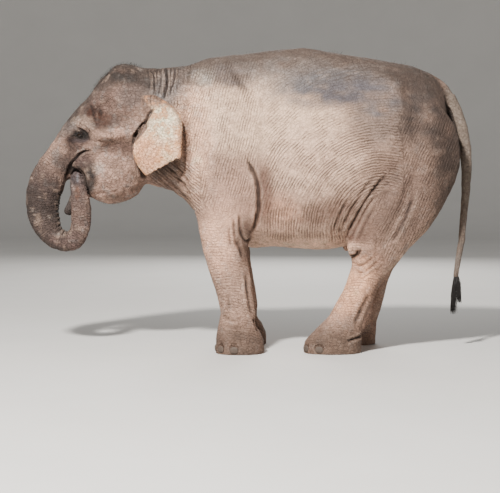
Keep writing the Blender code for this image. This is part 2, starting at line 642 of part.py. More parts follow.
# ------------------------------------------------------------------ the elephant
def main():
    clear_scene()
    parts = collection("asian_elephant")
    guides = collection("cutters")
    skin = material("skin", SKIN_COLOUR, 0.8)
    ear_skin = material("ear_skin", EAR_COLOUR, 0.8)
    horn = material("nail", NAIL_COLOUR, 0.5)
    hair = material("hair", HAIR_COLOUR, 0.6)
    eye = material("eye", EYE_COLOUR, 0.1)

    body = fused_flesh(guides)
    mouth = loft("mouth_room", TRUNK[13:], TRUNK_SWAY[13:], guides, 16, 2, swell=MOUTH_ROOM)
    boolean(body, as_guide(mouth), "DIFFERENCE")
    floor = box_cutter("floor", (-3, -3, -1), (3, 3, 0), guides)
    boolean(body, floor, "DIFFERENCE")

    nodes = {}
    eyes = []
    tree = BVHTree.FromBMesh(evaluated_bmesh(body))
    for name, sign in (("left", -1), ("right", 1)):
        hit, normal = side_point(tree, *EYE_PLACE, sign)
        eyes.append(add_eye(f"eye_{name}", hit - normal * EYE_DEPTH, parts, eye))
    nodes.update(part_body(body, parts, guides))
    bpy.data.objects.remove(body)

    for ball in eyes:
        boolean(nodes["head"], swollen(ball, GAP, guides), "DIFFERENCE")
    for name, sign in (("ear_left", -1), ("ear_right", 1)):
        ear = add_ear(name, sign, parts)
        boolean(ear, swollen(nodes["head"], GAP, guides), "DIFFERENCE")
        boolean(ear, swollen(nodes["neck"], GAP, guides), "DIFFERENCE")
        nodes[name] = largest_island(ear)
    for nail, foot in add_nails(parts, horn):
        boolean(nodes[foot], swollen(nail, GAP, guides), "DIFFERENCE")

    trunk_rows = smooth_rows([(*r, s) for r, s in zip(TRUNK, TRUNK_SWAY)], TRUNK_STEPS)
    for name, first, last in TRUNK_LENGTHS:
        nodes[name] = tube_length(name, trunk_rows, first * TRUNK_STEPS, last * TRUNK_STEPS, 12, parts)
    tail_rows = smooth_rows([(*r, 0.0) for r in TAIL], 1)
    for name, first, last in TAIL_LENGTHS:
        nodes[name] = tube_length(name, tail_rows, first, last, 10, parts)
    boolean(nodes["rump"], swollen(nodes["tail_upper"], 2 * GAP, guides), "DIFFERENCE")
    largest_island(nodes["rump"])
    loft("tail_tuft", TUFT, [0.0] * len(TUFT), parts, 8, 1, looks=hair)

    for name, node in nodes.items():
        node.data.materials.clear()
        node.data.materials.append(ear_skin if name.startswith("ear") else skin)
    for guide in list(guides.objects):
        bpy.data.objects.remove(guide)
    centre_on_origin(parts)


def tube_length(name, rows, first, last, segments, parts):
    """One length of the trunk or tail, its two ends drawn in by half a gap each."""
    table = [np.array(row) for row in rows[first : last + 1]]
    table[0] = ends_drawn_in(table[0], table[1])
    table[-1] = ends_drawn_in(table[-1], table[-2])
    return loft(name, [row[:6] for row in table], [row[6] for row in table], parts, segments, 1)


def ends_drawn_in(end, inner):
    step = np.linalg.norm((end - inner)[[0, 1]]) / 2 + np.linalg.norm((end - inner)[[2, 3]]) / 2
    return end + (inner - end) * (GAP / step)


def centre_on_origin(parts):
    """Stands the model on the origin by the middle of its bounding box."""
    corners = [obj.matrix_world @ Vector(c) for obj in parts.objects for c in obj.bound_box]
    stand = bpy.data.objects.new("stand_point", None)
    parts.objects.link(stand)
    for obj in list(parts.objects):
        if obj is not stand:
            obj.parent = stand
    xs, ys = [c.x for c in corners], [c.y for c in corners]
    stand.location = (-(min(xs) + max(xs)) / 2, -(min(ys) + max(ys)) / 2, 0.0)
    print("centred by", tuple(round(v, 4) for v in stand.location))


main()
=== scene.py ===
"""The looks of a life-size Asian elephant cow that stands with her trunk curled to her mouth.

Metres, +Z up. She faces -X and her left side faces -Y. One skin stands for all the
flesh of the frame: the frame's pieces are fused, smoothed and then modelled like clay
with creases, ridges, hollows and fields of wrinkles. Eyes, toenails and hair are
pieces of their own.
"""

import itertools
import math

import bmesh
import bpy
import numpy as np
from mathutils import Matrix, Vector
from mathutils.bvhtree import BVHTree


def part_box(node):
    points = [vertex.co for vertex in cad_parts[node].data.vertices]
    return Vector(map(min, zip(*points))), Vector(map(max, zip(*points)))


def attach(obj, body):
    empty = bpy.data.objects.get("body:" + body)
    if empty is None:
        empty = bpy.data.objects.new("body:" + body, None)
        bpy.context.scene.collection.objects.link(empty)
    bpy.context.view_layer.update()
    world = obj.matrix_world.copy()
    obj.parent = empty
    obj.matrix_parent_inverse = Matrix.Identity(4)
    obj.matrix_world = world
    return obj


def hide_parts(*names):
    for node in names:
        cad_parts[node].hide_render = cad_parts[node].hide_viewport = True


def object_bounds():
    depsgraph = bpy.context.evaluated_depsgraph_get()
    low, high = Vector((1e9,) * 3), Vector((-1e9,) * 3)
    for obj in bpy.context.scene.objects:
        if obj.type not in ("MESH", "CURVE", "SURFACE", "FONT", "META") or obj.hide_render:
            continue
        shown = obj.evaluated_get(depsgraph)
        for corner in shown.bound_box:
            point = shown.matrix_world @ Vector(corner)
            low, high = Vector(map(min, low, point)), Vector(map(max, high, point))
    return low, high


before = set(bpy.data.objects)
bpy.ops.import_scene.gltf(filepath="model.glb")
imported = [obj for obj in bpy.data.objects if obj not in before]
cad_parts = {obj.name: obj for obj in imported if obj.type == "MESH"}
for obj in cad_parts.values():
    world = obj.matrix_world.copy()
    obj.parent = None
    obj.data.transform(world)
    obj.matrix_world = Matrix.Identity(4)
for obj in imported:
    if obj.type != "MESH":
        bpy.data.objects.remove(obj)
cad_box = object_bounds()

# ------------------------------------------------------------------ driving sizes
COARSE_VOXEL = 0.014  # grid that fuses the big masses, before they are smoothed
FINE_VOXEL = 0.006  # grid of the thin parts: the trunk's end, the tail, the lower lip
SKIN_VOXEL = 0.0072  # grid of the whole skin that is modelled
SKIN_TRIANGLES = 193_000
HEAD_CARE = 3e-4  # how much the thinning of the mesh spares the head
CARE_LEVELS = 9  # in how many steps that care grows towards the face
OVERLAP = 0.0007  # how far a copied piece grows, so that it meets its neighbour
SIDES = (("left", -1), ("right", 1))
FLESH = ("head", "neck", "barrel", "rump", "trunk_upper", "trunk_bend", "trunk_return", "tail_upper")
LIMBS = ("upper_arm", "forearm", "forefoot", "thigh", "shank", "hindfoot")
THIN_FLESH = ("trunk_return", "trunk_tip", "tail_upper", "tail_lower")
EYE_RADIUS = 0.022  # of the ball that the lids lie on
EYE_ZONES = (0.15, 0.065)  # radii round each eye, inside which the mesh is cut finer each time
OPENING = 0.0260  # half the length of the opening between the lids
SLANT = 0.10  # how steeply that opening rises towards the back
BROAD_LINE = 0.030  # a line wider than this is a form, not a crease, and gets neither dirt nor painted crease shade
LINE_FADE = 0.25  # share of a line over which each of its ends fades
SOLE = 0.004  # what lies lower than this is a sole, and stays flat
BOX_MARGINS = ((0.0005, 0.0005, 0.0), 0.0008)  # left free inside the frame's low and high bounds
BRISTLES = 2200
LASHES = 64  # at each eye
TUFT_HAIRS = 600  # in each of the tail's locks
STRAND_STEPS = 5
STRAND_PATCH = 0.003  # width of each hair's own square of the texture
BODY_AXIS = 1.2  # height of the long axis that the skin is unrolled round
CAMERA = Vector((0.0104, -12.0, 1.5))
AIM = Vector((0.0104, 0.0, 0.804))
VIEW_WIDTH = 3.95  # of the view, in metres, at the aim


# ------------------------------------------------------------------ working with meshes
def only(obj):
    """Makes this the one selected and active object."""
    bpy.ops.object.select_all(action="DESELECT")
    obj.select_set(True)
    bpy.context.view_layer.objects.active = obj


def new_object(name, bm):
    """A new object in the scene that holds this mesh."""
    mesh = bpy.data.meshes.new(name)
    bm.to_mesh(mesh)
    bm.free()
    obj = bpy.data.objects.new(name, mesh)
    bpy.context.scene.collection.objects.link(obj)
    return obj


def with_modifier(obj, kind, **settings):
    """The object with one modifier applied to its mesh."""
    only(obj)
    step = obj.modifiers.new(kind.lower(), kind)
    for name, value in settings.items():
        setattr(step, name, value)
    bpy.ops.object.modifier_apply(modifier=step.name)
    return obj


def places(obj):
    """The place of each vertex."""
    co = np.empty(len(obj.data.vertices) * 3)
    obj.data.vertices.foreach_get("co", co)
    return co.reshape(-1, 3)


def set_places(obj, co):
    obj.data.vertices.foreach_set("co", co.ravel())
    obj.data.update()


def outward(obj):
    """The unit normal at each vertex."""
    normals = np.empty(len(obj.data.vertices) * 3)
    obj.data.vertex_normals.foreach_get("vector", normals)
    return normals.reshape(-1, 3)


class Net:
    """Which vertices are neighbours, for averaging over the surface."""

    def __init__(self, obj):
        edges = np.empty(len(obj.data.edges) * 2, np.int64)
        obj.data.edges.foreach_get("vertices", edges)
        first, second = edges.reshape(-1, 2).T
        self.near = np.concatenate((first, second))
        self.far = np.concatenate((second, first))
        self.size = len(obj.data.vertices)
        self.count = np.maximum(np.bincount(self.near, minlength=self.size), 1)

    def average(self, values):
        """Each vertex's mean of its neighbours, for numbers or for points."""
        if values.ndim == 1:
            return np.bincount(self.near, values[self.far], self.size) / self.count
        return np.stack([self.average(column) for column in values.T], 1)

    def smoothed(self, co, rounds, share=1.0):
        """Smooths without shrinking: each step in is followed by a step out."""
        share = np.reshape(share, (-1, 1)) if np.ndim(share) else share
        for _, step in itertools.product(range(rounds), (0.5, -0.52)):
            co = co + step * share * (self.average(co) - co)
        return co


# ------------------------------------------------------------------ shaping functions
def ease(values, low, high):
    """0 below low, 1 above high, and a smooth step between; low may be the larger."""
    t = np.clip((values - low) / (high - low), 0, 1)
    return t * t * (3 - 2 * t)


def bump(distance, width):
    """1 at no distance, falling away as a bell does."""
    return np.exp(-((distance / width) ** 2))


def lattice_noise(points, size, seed):
    """Smooth noise from -1 to 1, with lumps about size across."""
    grid = points / size
    cell = np.floor(grid).astype(np.int64)
    part = grid - cell
    part = part * part * (3 - 2 * part)
    total = np.zeros(len(points))
    for corner in itertools.product((0, 1), repeat=3):
        key = (cell + np.array(corner)) @ np.array((73856093, 19349663, 83492791)) + seed * 9781
        key = (key ^ (key >> 13)) * 1274126177
        value = ((key ^ (key >> 16)) & 0xFFFF) / 32767.5 - 1
        total += value * np.prod(np.where(corner, part, 1 - part), axis=1)
    return total


def curve_through(points, steps):
    """Catmull-Rom through given points, in any number of dimensions, in steps from each to the next."""
    rows = np.asarray(points, float)
    ends = np.vstack([2 * rows[0] - rows[1], rows, 2 * rows[-1] - rows[-2]])
    made = []
    for a, b, c, d in zip(ends, ends[1:], ends[2:], ends[3:]):
        for t in np.arange(steps) / steps:
            made.append(0.5 * (2 * b + (c - a) * t + (2 * a - 5 * b + 4 * c - d) * t**2
                               + (3 * b - a - 3 * c + d) * t**3))
    made.append(rows[-1])
    return np.array(made)


def along_curve(points, curve):
    """For each point its distance to the curve, and how far along it that is from 0 to 1."""
    best = np.full(len(points), np.inf)
    share = np.zeros(len(points))
    lengths = np.linalg.norm(np.diff(curve, axis=0), axis=1)
    reached = np.concatenate(([0], np.cumsum(lengths)))
    for start, stop, before, length in zip(curve, curve[1:], reached, lengths):
        step = (stop - start) / length
        t = np.clip((points - start) @ step, 0, length)
        distance = np.linalg.norm(points - start - t[:, None] * step, axis=1)
        nearer = distance < best
        best[nearer] = distance[nearer]
        share[nearer] = (before + t[nearer]) / reached[-1]
    return best, share


# ------------------------------------------------------------------ the skin's raw form
def copied_flesh(name, nodes):
    """Copies of the frame's solids as one object, each grown a hair so that they overlap."""
    bm = bmesh.new()
    for node in nodes:
        bm.from_mesh(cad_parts[node].data)
    bmesh.ops.remove_doubles(bm, verts=bm.verts, dist=1e-5)
    bm.normal_update()
    moves = [(vert, vert.normal * OVERLAP) for vert in bm.verts]
    for vert, move in moves:
        vert.co += move
    return new_object(name, bm)


def remeshed(obj, voxel):
    """Fuses all that overlaps in the object into closed surfaces of even quads."""
    only(obj)
    obj.data.remesh_voxel_size = voxel
    bpy.ops.object.voxel_remesh()
    return obj


def big_masses():
    """Body, head, legs and most of the trunk, fused and smoothed; lower lip and soles keep their form."""
    nodes = [*FLESH, *(f"{limb}_{side}" for limb in LIMBS for side, _ in SIDES)]
    mass = remeshed(copied_flesh("masses", nodes), COARSE_VOXEL)
    raw = places(mass)
    lip = ease(raw[:, 0], -1.34, -1.38) * ease(raw[:, 1], -0.01, 0.02) * ease(raw[:, 2], 1.27, 1.24)
    smooth = Net(mass).smoothed(raw, rounds=45, share=1 - 0.97 * lip)
    smooth[:, 2] = np.where(raw[:, 2] < SOLE, raw[:, 2], smooth[:, 2])
    set_places(mass, smooth)
    return mass


def make_room(mass, other, room):
    """Moves the mass's surface off another object that lies against it, and leaves a gap."""
    tree = BVHTree.FromObject(other, bpy.context.evaluated_depsgraph_get())
    low, high = places(other).min(0), places(other).max(0)
    co = places(mass)
    for n in np.flatnonzero(np.all((co > low - room) & (co < high + room), axis=1)):
        hit, normal, _, _ = tree.find_nearest(Vector(co[n]))
        height = (Vector(co[n]) - hit).dot(normal)
        if height < room:
            co[n] = hit + normal * room
    set_places(mass, co)


def thin_masses():
    """The trunk's end and the tail, fused on a finer grid."""
    mass = remeshed(copied_flesh("thin_masses", THIN_FLESH), FINE_VOXEL)
    set_places(mass, Net(mass).smoothed(places(mass), rounds=40))
    return mass


# Rounded fleshy parts as middle lines of (x, y, z, radius): the lower lip that is seen
# through the trunk's loop, the trunk's rounded end, and the web between tail and rump.
LIP = (
    (-1.290, 0.035, 1.262, 0.075), (-1.345, 0.042, 1.205, 0.056), (-1.388, 0.048, 1.150, 0.042),
    (-1.416, 0.048, 1.108, 0.037), (-1.432, 0.048, 1.084, 0.033),
)
TRUNK_END = (
    (-1.328, -0.078, 1.260, 0.050), (-1.333, -0.078, 1.310, 0.050), (-1.338, -0.080, 1.352, 0.047),
    (-1.336, -0.080, 1.362, 0.044),
)
TAIL_WEB = (
    (1.490, 0.0, 1.940, 0.050), (1.535, 0.0, 1.870, 0.040), (1.575, 0.0, 1.780, 0.034),
    (1.605, 0.0, 1.680, 0.030), (1.620, 0.0, 1.600, 0.026),
)


def fleshy(name, rows):
    """A rounded part: balls along its middle line, fused."""
    bm = bmesh.new()
    for *place, radius in curve_through(rows, 5):
        bmesh.ops.create_icosphere(bm, subdivisions=3, radius=radius, matrix=Matrix.Translation(place))
    return remeshed(new_object(name, bm), FINE_VOXEL)


def joined(name, *objects):
    """All these objects as one."""
    only(objects[0])
    for obj in objects:
        obj.select_set(True)
    bpy.ops.object.join()
    objects[0].name = name
    return objects[0]


# The left ear, as (x, distance from the middle plane, z): where it grows from the head,
# and its edge from the top of that line, round the back, to the tip and up its front.
EAR_ROOT = (
    (-0.812, 0.225, 1.962), (-0.812, 0.245, 1.885), (-0.800, 0.262, 1.800),
    (-0.826, 0.272, 1.722), (-0.862, 0.270, 1.650), (-0.880, 0.262, 1.590),
)
EAR_RIM = (
    (-0.812, 0.225, 1.970), (-0.772, 0.262, 1.982), (-0.720, 0.298, 1.980), (-0.668, 0.322, 1.952),
    (-0.608, 0.350, 1.915), (-0.556, 0.378, 1.868), (-0.520, 0.400, 1.822), (-0.508, 0.420, 1.765),
    (-0.504, 0.438, 1.700), (-0.506, 0.448, 1.630), (-0.510, 0.452, 1.560), (-0.514, 0.450, 1.512),
    (-0.552, 0.440, 1.498), (-0.580, 0.430, 1.476), (-0.626, 0.414, 1.452), (-0.670, 0.396, 1.432),
    (-0.716, 0.376, 1.408), (-0.752, 0.352, 1.384), (-0.778, 0.328, 1.370), (-0.804, 0.310, 1.386),
    (-0.836, 0.290, 1.424), (-0.866, 0.274, 1.476), (-0.884, 0.262, 1.530),
)
EAR_BACK = 12  # so many of these points lie along its top and its back
EAR_THICK = (0.020, 0.0135)  # at the root and at the edge


def ear_sheet(name, sign):
    """A ruled sheet from root to edge, rippled, with its top edge rolled back, made solid."""
    rim = curve_through(EAR_RIM, 5)
    down = np.linspace(0, 1, len(rim))
    root = curve_through(EAR_ROOT, 8)
    root_down = np.linspace(0, 1, len(root))
    root = np.stack([np.interp(down, root_down, column) for column in root.T], 1)
    ragged = ease(down, 0.42, 0.55) * ease(down, 0.86, 0.78)
    line = np.stack([down, 0 * down, 0 * down], 1)
    notches = 0.007 * lattice_noise(line * 60, 1.0, 4) + 0.004 * lattice_noise(line * 150, 1.0, 5)
    rim[:, 2] += ragged * notches
    across = np.linspace(0, 1, 26)
    grid = root[:, None] + (rim - root)[:, None] * across[None, :, None]
    rolled = ease(down, 0.10, 0.2) * ease(down, 0.50, 0.40)
    cup = 0.040 * np.sin(math.pi * across ** 0.8)
    ripple = 0.007 * np.sin(down * 26 + 1.0)[:, None] * (across * (1 - 0.5 * across))[None]
    grid[..., 1] += cup[None] + ripple - (rolled[:, None] * ease(across, 0.88, 1.0)[None]) * 0.024
    grid[..., 1] *= sign
    bm = bmesh.new()
    rows = [[bm.verts.new(point) for point in row] for row in grid]
    for first, second in zip(rows, rows[1:]):
        for n in range(len(across) - 1):
            bm.faces.new((first[n], first[n + 1], second[n + 1], second[n]))
    bmesh.ops.recalc_face_normals(bm, faces=bm.faces)
    ear = new_object(name, bm)
    thick = ear.vertex_groups.new(name="thick")
    for n in range(len(down)):
        for m, share in enumerate(across):
            thick.add([n * len(across) + m], 1 - share, "REPLACE")
    return with_modifier(ear, "SOLIDIFY", thickness=EAR_THICK[0], offset=0.0,
                         vertex_group="thick", thickness_vertex_group=EAR_THICK[1] / EAR_THICK[0])


def refined(obj, spots):
    """Cuts the quads finer in each ball of (centre, radius), and rounds the new points."""
    bm = bmesh.new()
    bm.from_mesh(obj.data)
    for centre, radius in spots:
        middle = Vector(centre)
        edges = [edge for edge in bm.edges if (edge.verts[0].co - middle).length < radius]
        bmesh.ops.subdivide_edges(bm, edges=edges, cuts=1, use_grid_fill=True)
    bm.to_mesh(obj.data)
    bm.free()
    co = places(obj)
    share = sum(bump(np.linalg.norm(co - np.array(centre), axis=1), radius) for centre, radius in spots)
    set_places(obj, Net(obj).smoothed(co, rounds=5, share=np.clip(2 * share - 0.2, 0, 1)))


def eye_place(name):
    """The middle of that side's eye in the frame."""
    low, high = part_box(f"eye_{name}")
    return np.array((low + high) / 2)


def whole_skin():
    """Everything fleshy fused into one surface, finest round the eyes, and how far each point is ear."""
    mass = big_masses()
    lip, trunk_end, web = fleshy("lip", LIP), fleshy("trunk_end", TRUNK_END), fleshy("web", TAIL_WEB)
    for other in (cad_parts["trunk_tip"], trunk_end):
        make_room(mass, other, room=0.008)
    ears = [ear_sheet(f"ear_sheet_{name}", sign) for name, sign in SIDES]
    trees = [BVHTree.FromObject(ear, bpy.context.evaluated_depsgraph_get()) for ear in ears]
    skin = remeshed(joined("skin", mass, thin_masses(), lip, trunk_end, web, *ears), SKIN_VOXEL)
    set_places(skin, Net(skin).smoothed(places(skin), rounds=6))
    eyes = [eye_place(name) for name, _ in SIDES]
    refined(skin, [(eye, radius) for radius in EYE_ZONES for eye in eyes])
    co = places(skin)
    ear = np.zeros(len(co))
    for (_, sign), tree in zip(SIDES, trees):
        near = (abs(co[:, 0] + 0.7) < 0.22) & (sign * co[:, 1] > 0.2) & (co[:, 2] > 1.3)
        for n in np.flatnonzero(near):
            *_, distance = tree.find_nearest(Vector(co[n]))
            ear[n] = 1 - min(1.0, max(0.0, (distance - 0.004) / 0.006))
    return skin, ear


# ------------------------------------------------------------------ modelling the skin
# Lines on her left side as (x, z), mirrored to the right: path, width, depth, lip beside it.
# A negative depth is a ridge. Lines on a leg follow that leg's stance.
LINES = {
    "head": (
        ("trunk and cheek", ((-1.195, 1.562), (-1.235, 1.556), (-1.272, 1.552), (-1.307, 1.536),
                             (-1.338, 1.509), (-1.368, 1.478), (-1.391, 1.447), (-1.408, 1.414),
                             (-1.424, 1.375), (-1.446, 1.330)), 0.0085, 0.024, 0.10),
        ("cheek arch", ((-1.215, 1.680), (-1.142, 1.676), (-1.073, 1.668), (-1.011, 1.672),
                        (-0.949, 1.691), (-0.912, 1.712)), 0.034, -0.026, 0.0),
        ("brow", ((-1.395, 1.757), (-1.345, 1.790), (-1.285, 1.796), (-1.233, 1.765), (-1.194, 1.716)),
         0.026, -0.014, 0.0),
        ("brow to crown", ((-1.25, 1.80), (-1.20, 1.90), (-1.13, 2.00), (-1.05, 2.08)), 0.035, -0.010, 0.0),
        ("jaw and neck", ((-0.887, 1.550), (-0.850, 1.464), (-0.820, 1.379), (-0.812, 1.317)),
         0.020, 0.016, 0.2),
        ("upper lid fold", ((-1.352, 1.734), (-1.305, 1.726), (-1.262, 1.702), (-1.240, 1.669),
                            (-1.224, 1.634), (-1.206, 1.610)), 0.006, 0.0065, 0.3),
        ("brow fold", ((-1.290, 1.752), (-1.250, 1.735), (-1.220, 1.700), (-1.200, 1.655)),
         0.007, 0.004, 0.3),
        ("under the lids", ((-1.340, 1.632), (-1.305, 1.622), (-1.268, 1.624), (-1.236, 1.640)),
         0.005, 0.003, 0.2),
        ("bag under the eye", ((-1.340, 1.612), (-1.310, 1.588), (-1.275, 1.575), (-1.235, 1.580)),
         0.006, 0.004, 0.2),
        ("tear line", ((-1.372, 1.662), (-1.376, 1.632), (-1.356, 1.606), (-1.344, 1.580)),
         0.005, 0.004, 0.2),
        ("before the eye", ((-1.400, 1.650), (-1.388, 1.632), (-1.392, 1.606), (-1.366, 1.576)),
         0.005, 0.003, 0.2),
        ("temple", ((-1.232, 1.930), (-1.205, 1.880), (-1.190, 1.820), (-1.162, 1.762)), 0.010, 0.006, 0.4),
        ("temple", ((-1.170, 1.960), (-1.150, 1.890), (-1.130, 1.810)), 0.012, 0.005, 0.4),
        ("cheek", ((-1.205, 1.640), (-1.150, 1.628), (-1.095, 1.632)), 0.008, 0.004, 0.3),
        ("cheek", ((-1.190, 1.590), (-1.120, 1.585), (-1.040, 1.600), (-0.960, 1.630)), 0.009, 0.004, 0.3),
        ("chin", ((-1.215, 1.215), (-1.150, 1.228), (-1.060, 1.238), (-0.980, 1.262)), 0.009, 0.004, 0.3),
    ),
    "neck": (
        ("behind the ear", ((-0.560, 1.950), (-0.495, 1.850), (-0.478, 1.720), (-0.475, 1.560),
                            (-0.500, 1.420)), 0.060, 0.042, 0.0),
        ("nape", ((-0.790, 2.215), (-0.775, 2.137), (-0.765, 2.060), (-0.775, 2.000)), 0.0055, 0.006, 0.3),
        ("nape", ((-0.762, 2.200), (-0.735, 2.135), (-0.728, 2.060), (-0.735, 1.975)), 0.0065, 0.011, 0.3),
        ("nape", ((-0.722, 2.230), (-0.712, 2.153), (-0.705, 2.086), (-0.722, 2.030)), 0.0050, 0.006, 0.3),
        ("nape", ((-0.690, 2.215), (-0.676, 2.130), (-0.684, 2.040), (-0.700, 1.985)), 0.0060, 0.008, 0.3),
        ("nape", ((-0.652, 2.232), (-0.636, 2.150), (-0.632, 2.073), (-0.652, 1.970), (-0.668, 1.940)),
         0.0100, 0.024, 0.3),
        ("nape", ((-0.612, 2.200), (-0.604, 2.150), (-0.610, 2.095)), 0.0050, 0.005, 0.3),
        ("nape", ((-0.585, 2.240), (-0.570, 2.167), (-0.580, 2.089), (-0.602, 2.011), (-0.622, 1.950)),
         0.0065, 0.011, 0.3),
        ("nape", ((-0.545, 2.210), (-0.538, 2.140), (-0.548, 2.060), (-0.570, 1.970)), 0.0055, 0.006, 0.3),
        ("nape", ((-0.500, 2.190), (-0.498, 2.120), (-0.512, 2.040)), 0.0060, 0.003, 0.3),
        ("throat", ((-0.735, 1.369), (-0.668, 1.323), (-0.606, 1.263), (-0.545, 1.202)), 0.012, 0.007, 0.5),
        ("throat", ((-0.690, 1.395), (-0.614, 1.321), (-0.540, 1.246), (-0.466, 1.169)), 0.012, 0.007, 0.5),
        ("throat", ((-0.640, 1.457), (-0.557, 1.365), (-0.488, 1.283), (-0.432, 1.186)), 0.012, 0.006, 0.5),
        ("throat", ((-0.590, 1.500), (-0.510, 1.385), (-0.448, 1.283), (-0.405, 1.190)), 0.012, 0.005, 0.5),
    ),
    "body": (
        ("shoulder blade", ((-0.204, 2.270), (-0.166, 2.176), (-0.112, 2.092), (-0.043, 2.008),
                            (0.026, 1.901)), 0.050, -0.014, 0.0),
        ("behind the blade", ((-0.135, 2.217), (-0.078, 2.112), (-0.008, 2.018), (0.064, 1.893)),
         0.034, 0.014, 0.0),
        ("back of the upper arm", ((-0.040, 1.530), (0.012, 1.440), (0.048, 1.360), (0.066, 1.280),
                                   (0.0735, 1.184), (0.068, 1.080), (0.050, 0.980), (0.020, 0.905)),
         0.014, 0.024, 0.15),
        ("hip bone", ((1.130, 2.180), (1.140, 2.023), (1.160, 1.886), (1.181, 1.756), (1.219, 1.640)),
         0.070, -0.013, 0.0),
        ("behind the hip bone", ((1.196, 2.150), (1.225, 2.008), (1.248, 1.886), (1.256, 1.763),
                                 (1.276, 1.656), (1.303, 1.560)), 0.060, 0.017, 0.0),
        ("thigh", ((1.305, 1.594), (1.290, 1.473), (1.250, 1.336), (1.197, 1.199), (1.140, 1.077),
                   (1.067, 0.940), (0.991, 0.803), (0.930, 0.697)), 0.036, 0.014, 0.2),
        ("thigh", ((1.265, 1.300), (1.212, 1.112), (1.143, 0.960), (1.060, 0.803)), 0.014, 0.007, 0.5),
        ("tail root", ((1.52, 1.98), (1.575, 1.86), (1.618, 1.72), (1.650, 1.58), (1.665, 1.45)),
         0.013, 0.022, 0.0),
        ("flank", ((0.678, 0.878), (0.709, 0.974), (0.762, 1.086), (0.830, 1.199), (0.921, 1.328),
                   (1.043, 1.442)), 0.011, 0.006, 0.4),
        ("flank", ((0.724, 0.827), (0.762, 0.941), (0.823, 1.063), (0.891, 1.184), (0.982, 1.306),
                   (1.088, 1.420)), 0.012, 0.011, 0.4),
        ("flank", ((0.762, 0.827), (0.807, 0.949), (0.868, 1.070), (0.936, 1.184), (1.012, 1.283)),
         0.010, 0.007, 0.4),
        ("flank", ((0.815, 0.835), (0.861, 0.941), (0.914, 1.055), (0.974, 1.154)), 0.010, 0.006, 0.4),
        ("flank", ((0.630, 0.890), (0.655, 0.990), (0.700, 1.100), (0.765, 1.215)), 0.011, 0.006, 0.5),
        ("under the flank knob", ((0.735, 0.790), (0.774, 0.745), (0.828, 0.765), (0.853, 0.823)),
         0.013, 0.020, 0.4),
    ),
    "fore": (
        ("elbow", ((0.030, 0.930), (-0.010, 0.868), (-0.045, 0.900), (-0.070, 0.985), (-0.073, 1.100)),
         0.012, 0.010, 0.4),
        ("elbow", ((-0.081, 0.788), (-0.105, 0.895), (-0.112, 0.994), (-0.106, 1.077)), 0.011, 0.010, 0.5),
        ("elbow", ((-0.130, 0.803), (-0.145, 0.910), (-0.147, 1.001)), 0.010, 0.006, 0.5),
        ("elbow", ((-0.040, 0.712), (-0.062, 0.788), (-0.078, 0.857), (-0.078, 0.930)), 0.010, 0.009, 0.5),
        ("wrist", ((-0.235, 0.330), (-0.182, 0.285), (-0.127, 0.266), (-0.066, 0.274), (0.0, 0.30)),
         0.011, 0.004, 0.3),
        ("wrist", ((-0.246, 0.264), (-0.182, 0.228), (-0.111, 0.212), (-0.043, 0.208), (0.02, 0.23)),
         0.010, 0.004, 0.3),
        ("heel pad", ((0.030, 0.285), (0.048, 0.240), (0.066, 0.195), (0.078, 0.155)), 0.010, 0.012, 0.3),
        ("tendon", ((-0.022, 0.665), (-0.015, 0.536), (0.000, 0.421), (0.018, 0.322), (0.032, 0.250)),
         0.012, 0.009, 0.5),
        ("tendon", ((-0.140, 0.500), (-0.155, 0.416), (-0.150, 0.330)), 0.014, 0.005, 0.4),
    ),
    "hind": (
        ("knee", ((0.788, 0.710), (0.849, 0.683), (0.910, 0.712), (0.971, 0.771)), 0.010, 0.007, 0.5),
        ("knee", ((0.796, 0.649), (0.864, 0.629), (0.940, 0.674), (1.009, 0.741)), 0.010, 0.006, 0.5),
        ("knee", ((0.800, 0.600), (0.864, 0.585), (0.940, 0.625), (1.020, 0.690)), 0.010, 0.004, 0.5),
        ("hock tendon", ((0.942, 0.500), (0.900, 0.425), (0.862, 0.350), (0.825, 0.266), (0.809, 0.200)),
         0.016, 0.009, 0.4),
        ("heel", ((0.730, 0.106), (0.765, 0.109), (0.810, 0.118), (0.857, 0.132), (0.892, 0.150)),
         0.011, 0.012, 0.4),
        ("foot", ((0.460, 0.150), (0.514, 0.172), (0.590, 0.178), (0.650, 0.155)), 0.012, 0.004, 0.3),
    ),
}
# Hollows and swellings: place of the left one, radius, how far in (a swelling is negative).
HOLLOWS = (
    ("temple", (-1.085, -0.27, 1.810), 0.150, 0.036),
    ("temple top", (-1.020, -0.26, 1.930), 0.110, 0.012),
    ("under the cheek arch", (-1.06, -0.27, 1.575), 0.090, 0.014),
    ("eye socket", (-1.300, -0.24, 1.680), 0.100, 0.012),
    ("before the eye", (-1.400, -0.19, 1.640), 0.070, 0.006),
    ("cheek", (-1.050, -0.27, 1.370), 0.150, -0.014),
    ("upper lip", (-1.305, -0.17, 1.470), 0.110, -0.030),
    ("eye bag", (-1.272, -0.21, 1.602), 0.045, -0.007),
    ("above the heel pad", (0.090, -0.30, 0.235), 0.080, 0.026),
    ("above the hind heel", (0.905, -0.29, 0.200), 0.080, 0.018),
    ("crown", (-0.985, -0.12, 2.200), 0.110, -0.012),
    ("before the ear", (-0.905, -0.27, 1.800), 0.070, 0.012),
    ("shoulder", (-0.180, -0.40, 1.560), 0.220, -0.020),
    ("upper arm", (-0.090, -0.44, 1.200), 0.170, -0.020),
    ("behind the arm", (0.170, -0.45, 1.350), 0.120, 0.020),
    ("flank knob", (0.782, -0.40, 0.830), 0.060, -0.018),
    ("thigh front", (1.060, -0.43, 1.180), 0.160, -0.018),
    ("thigh back", (1.380, -0.38, 1.250), 0.170, -0.014),
    ("kneecap", (0.905, -0.38, 0.780), 0.090, -0.010),
    ("rump", (1.420, -0.28, 1.800), 0.180, -0.016),
)
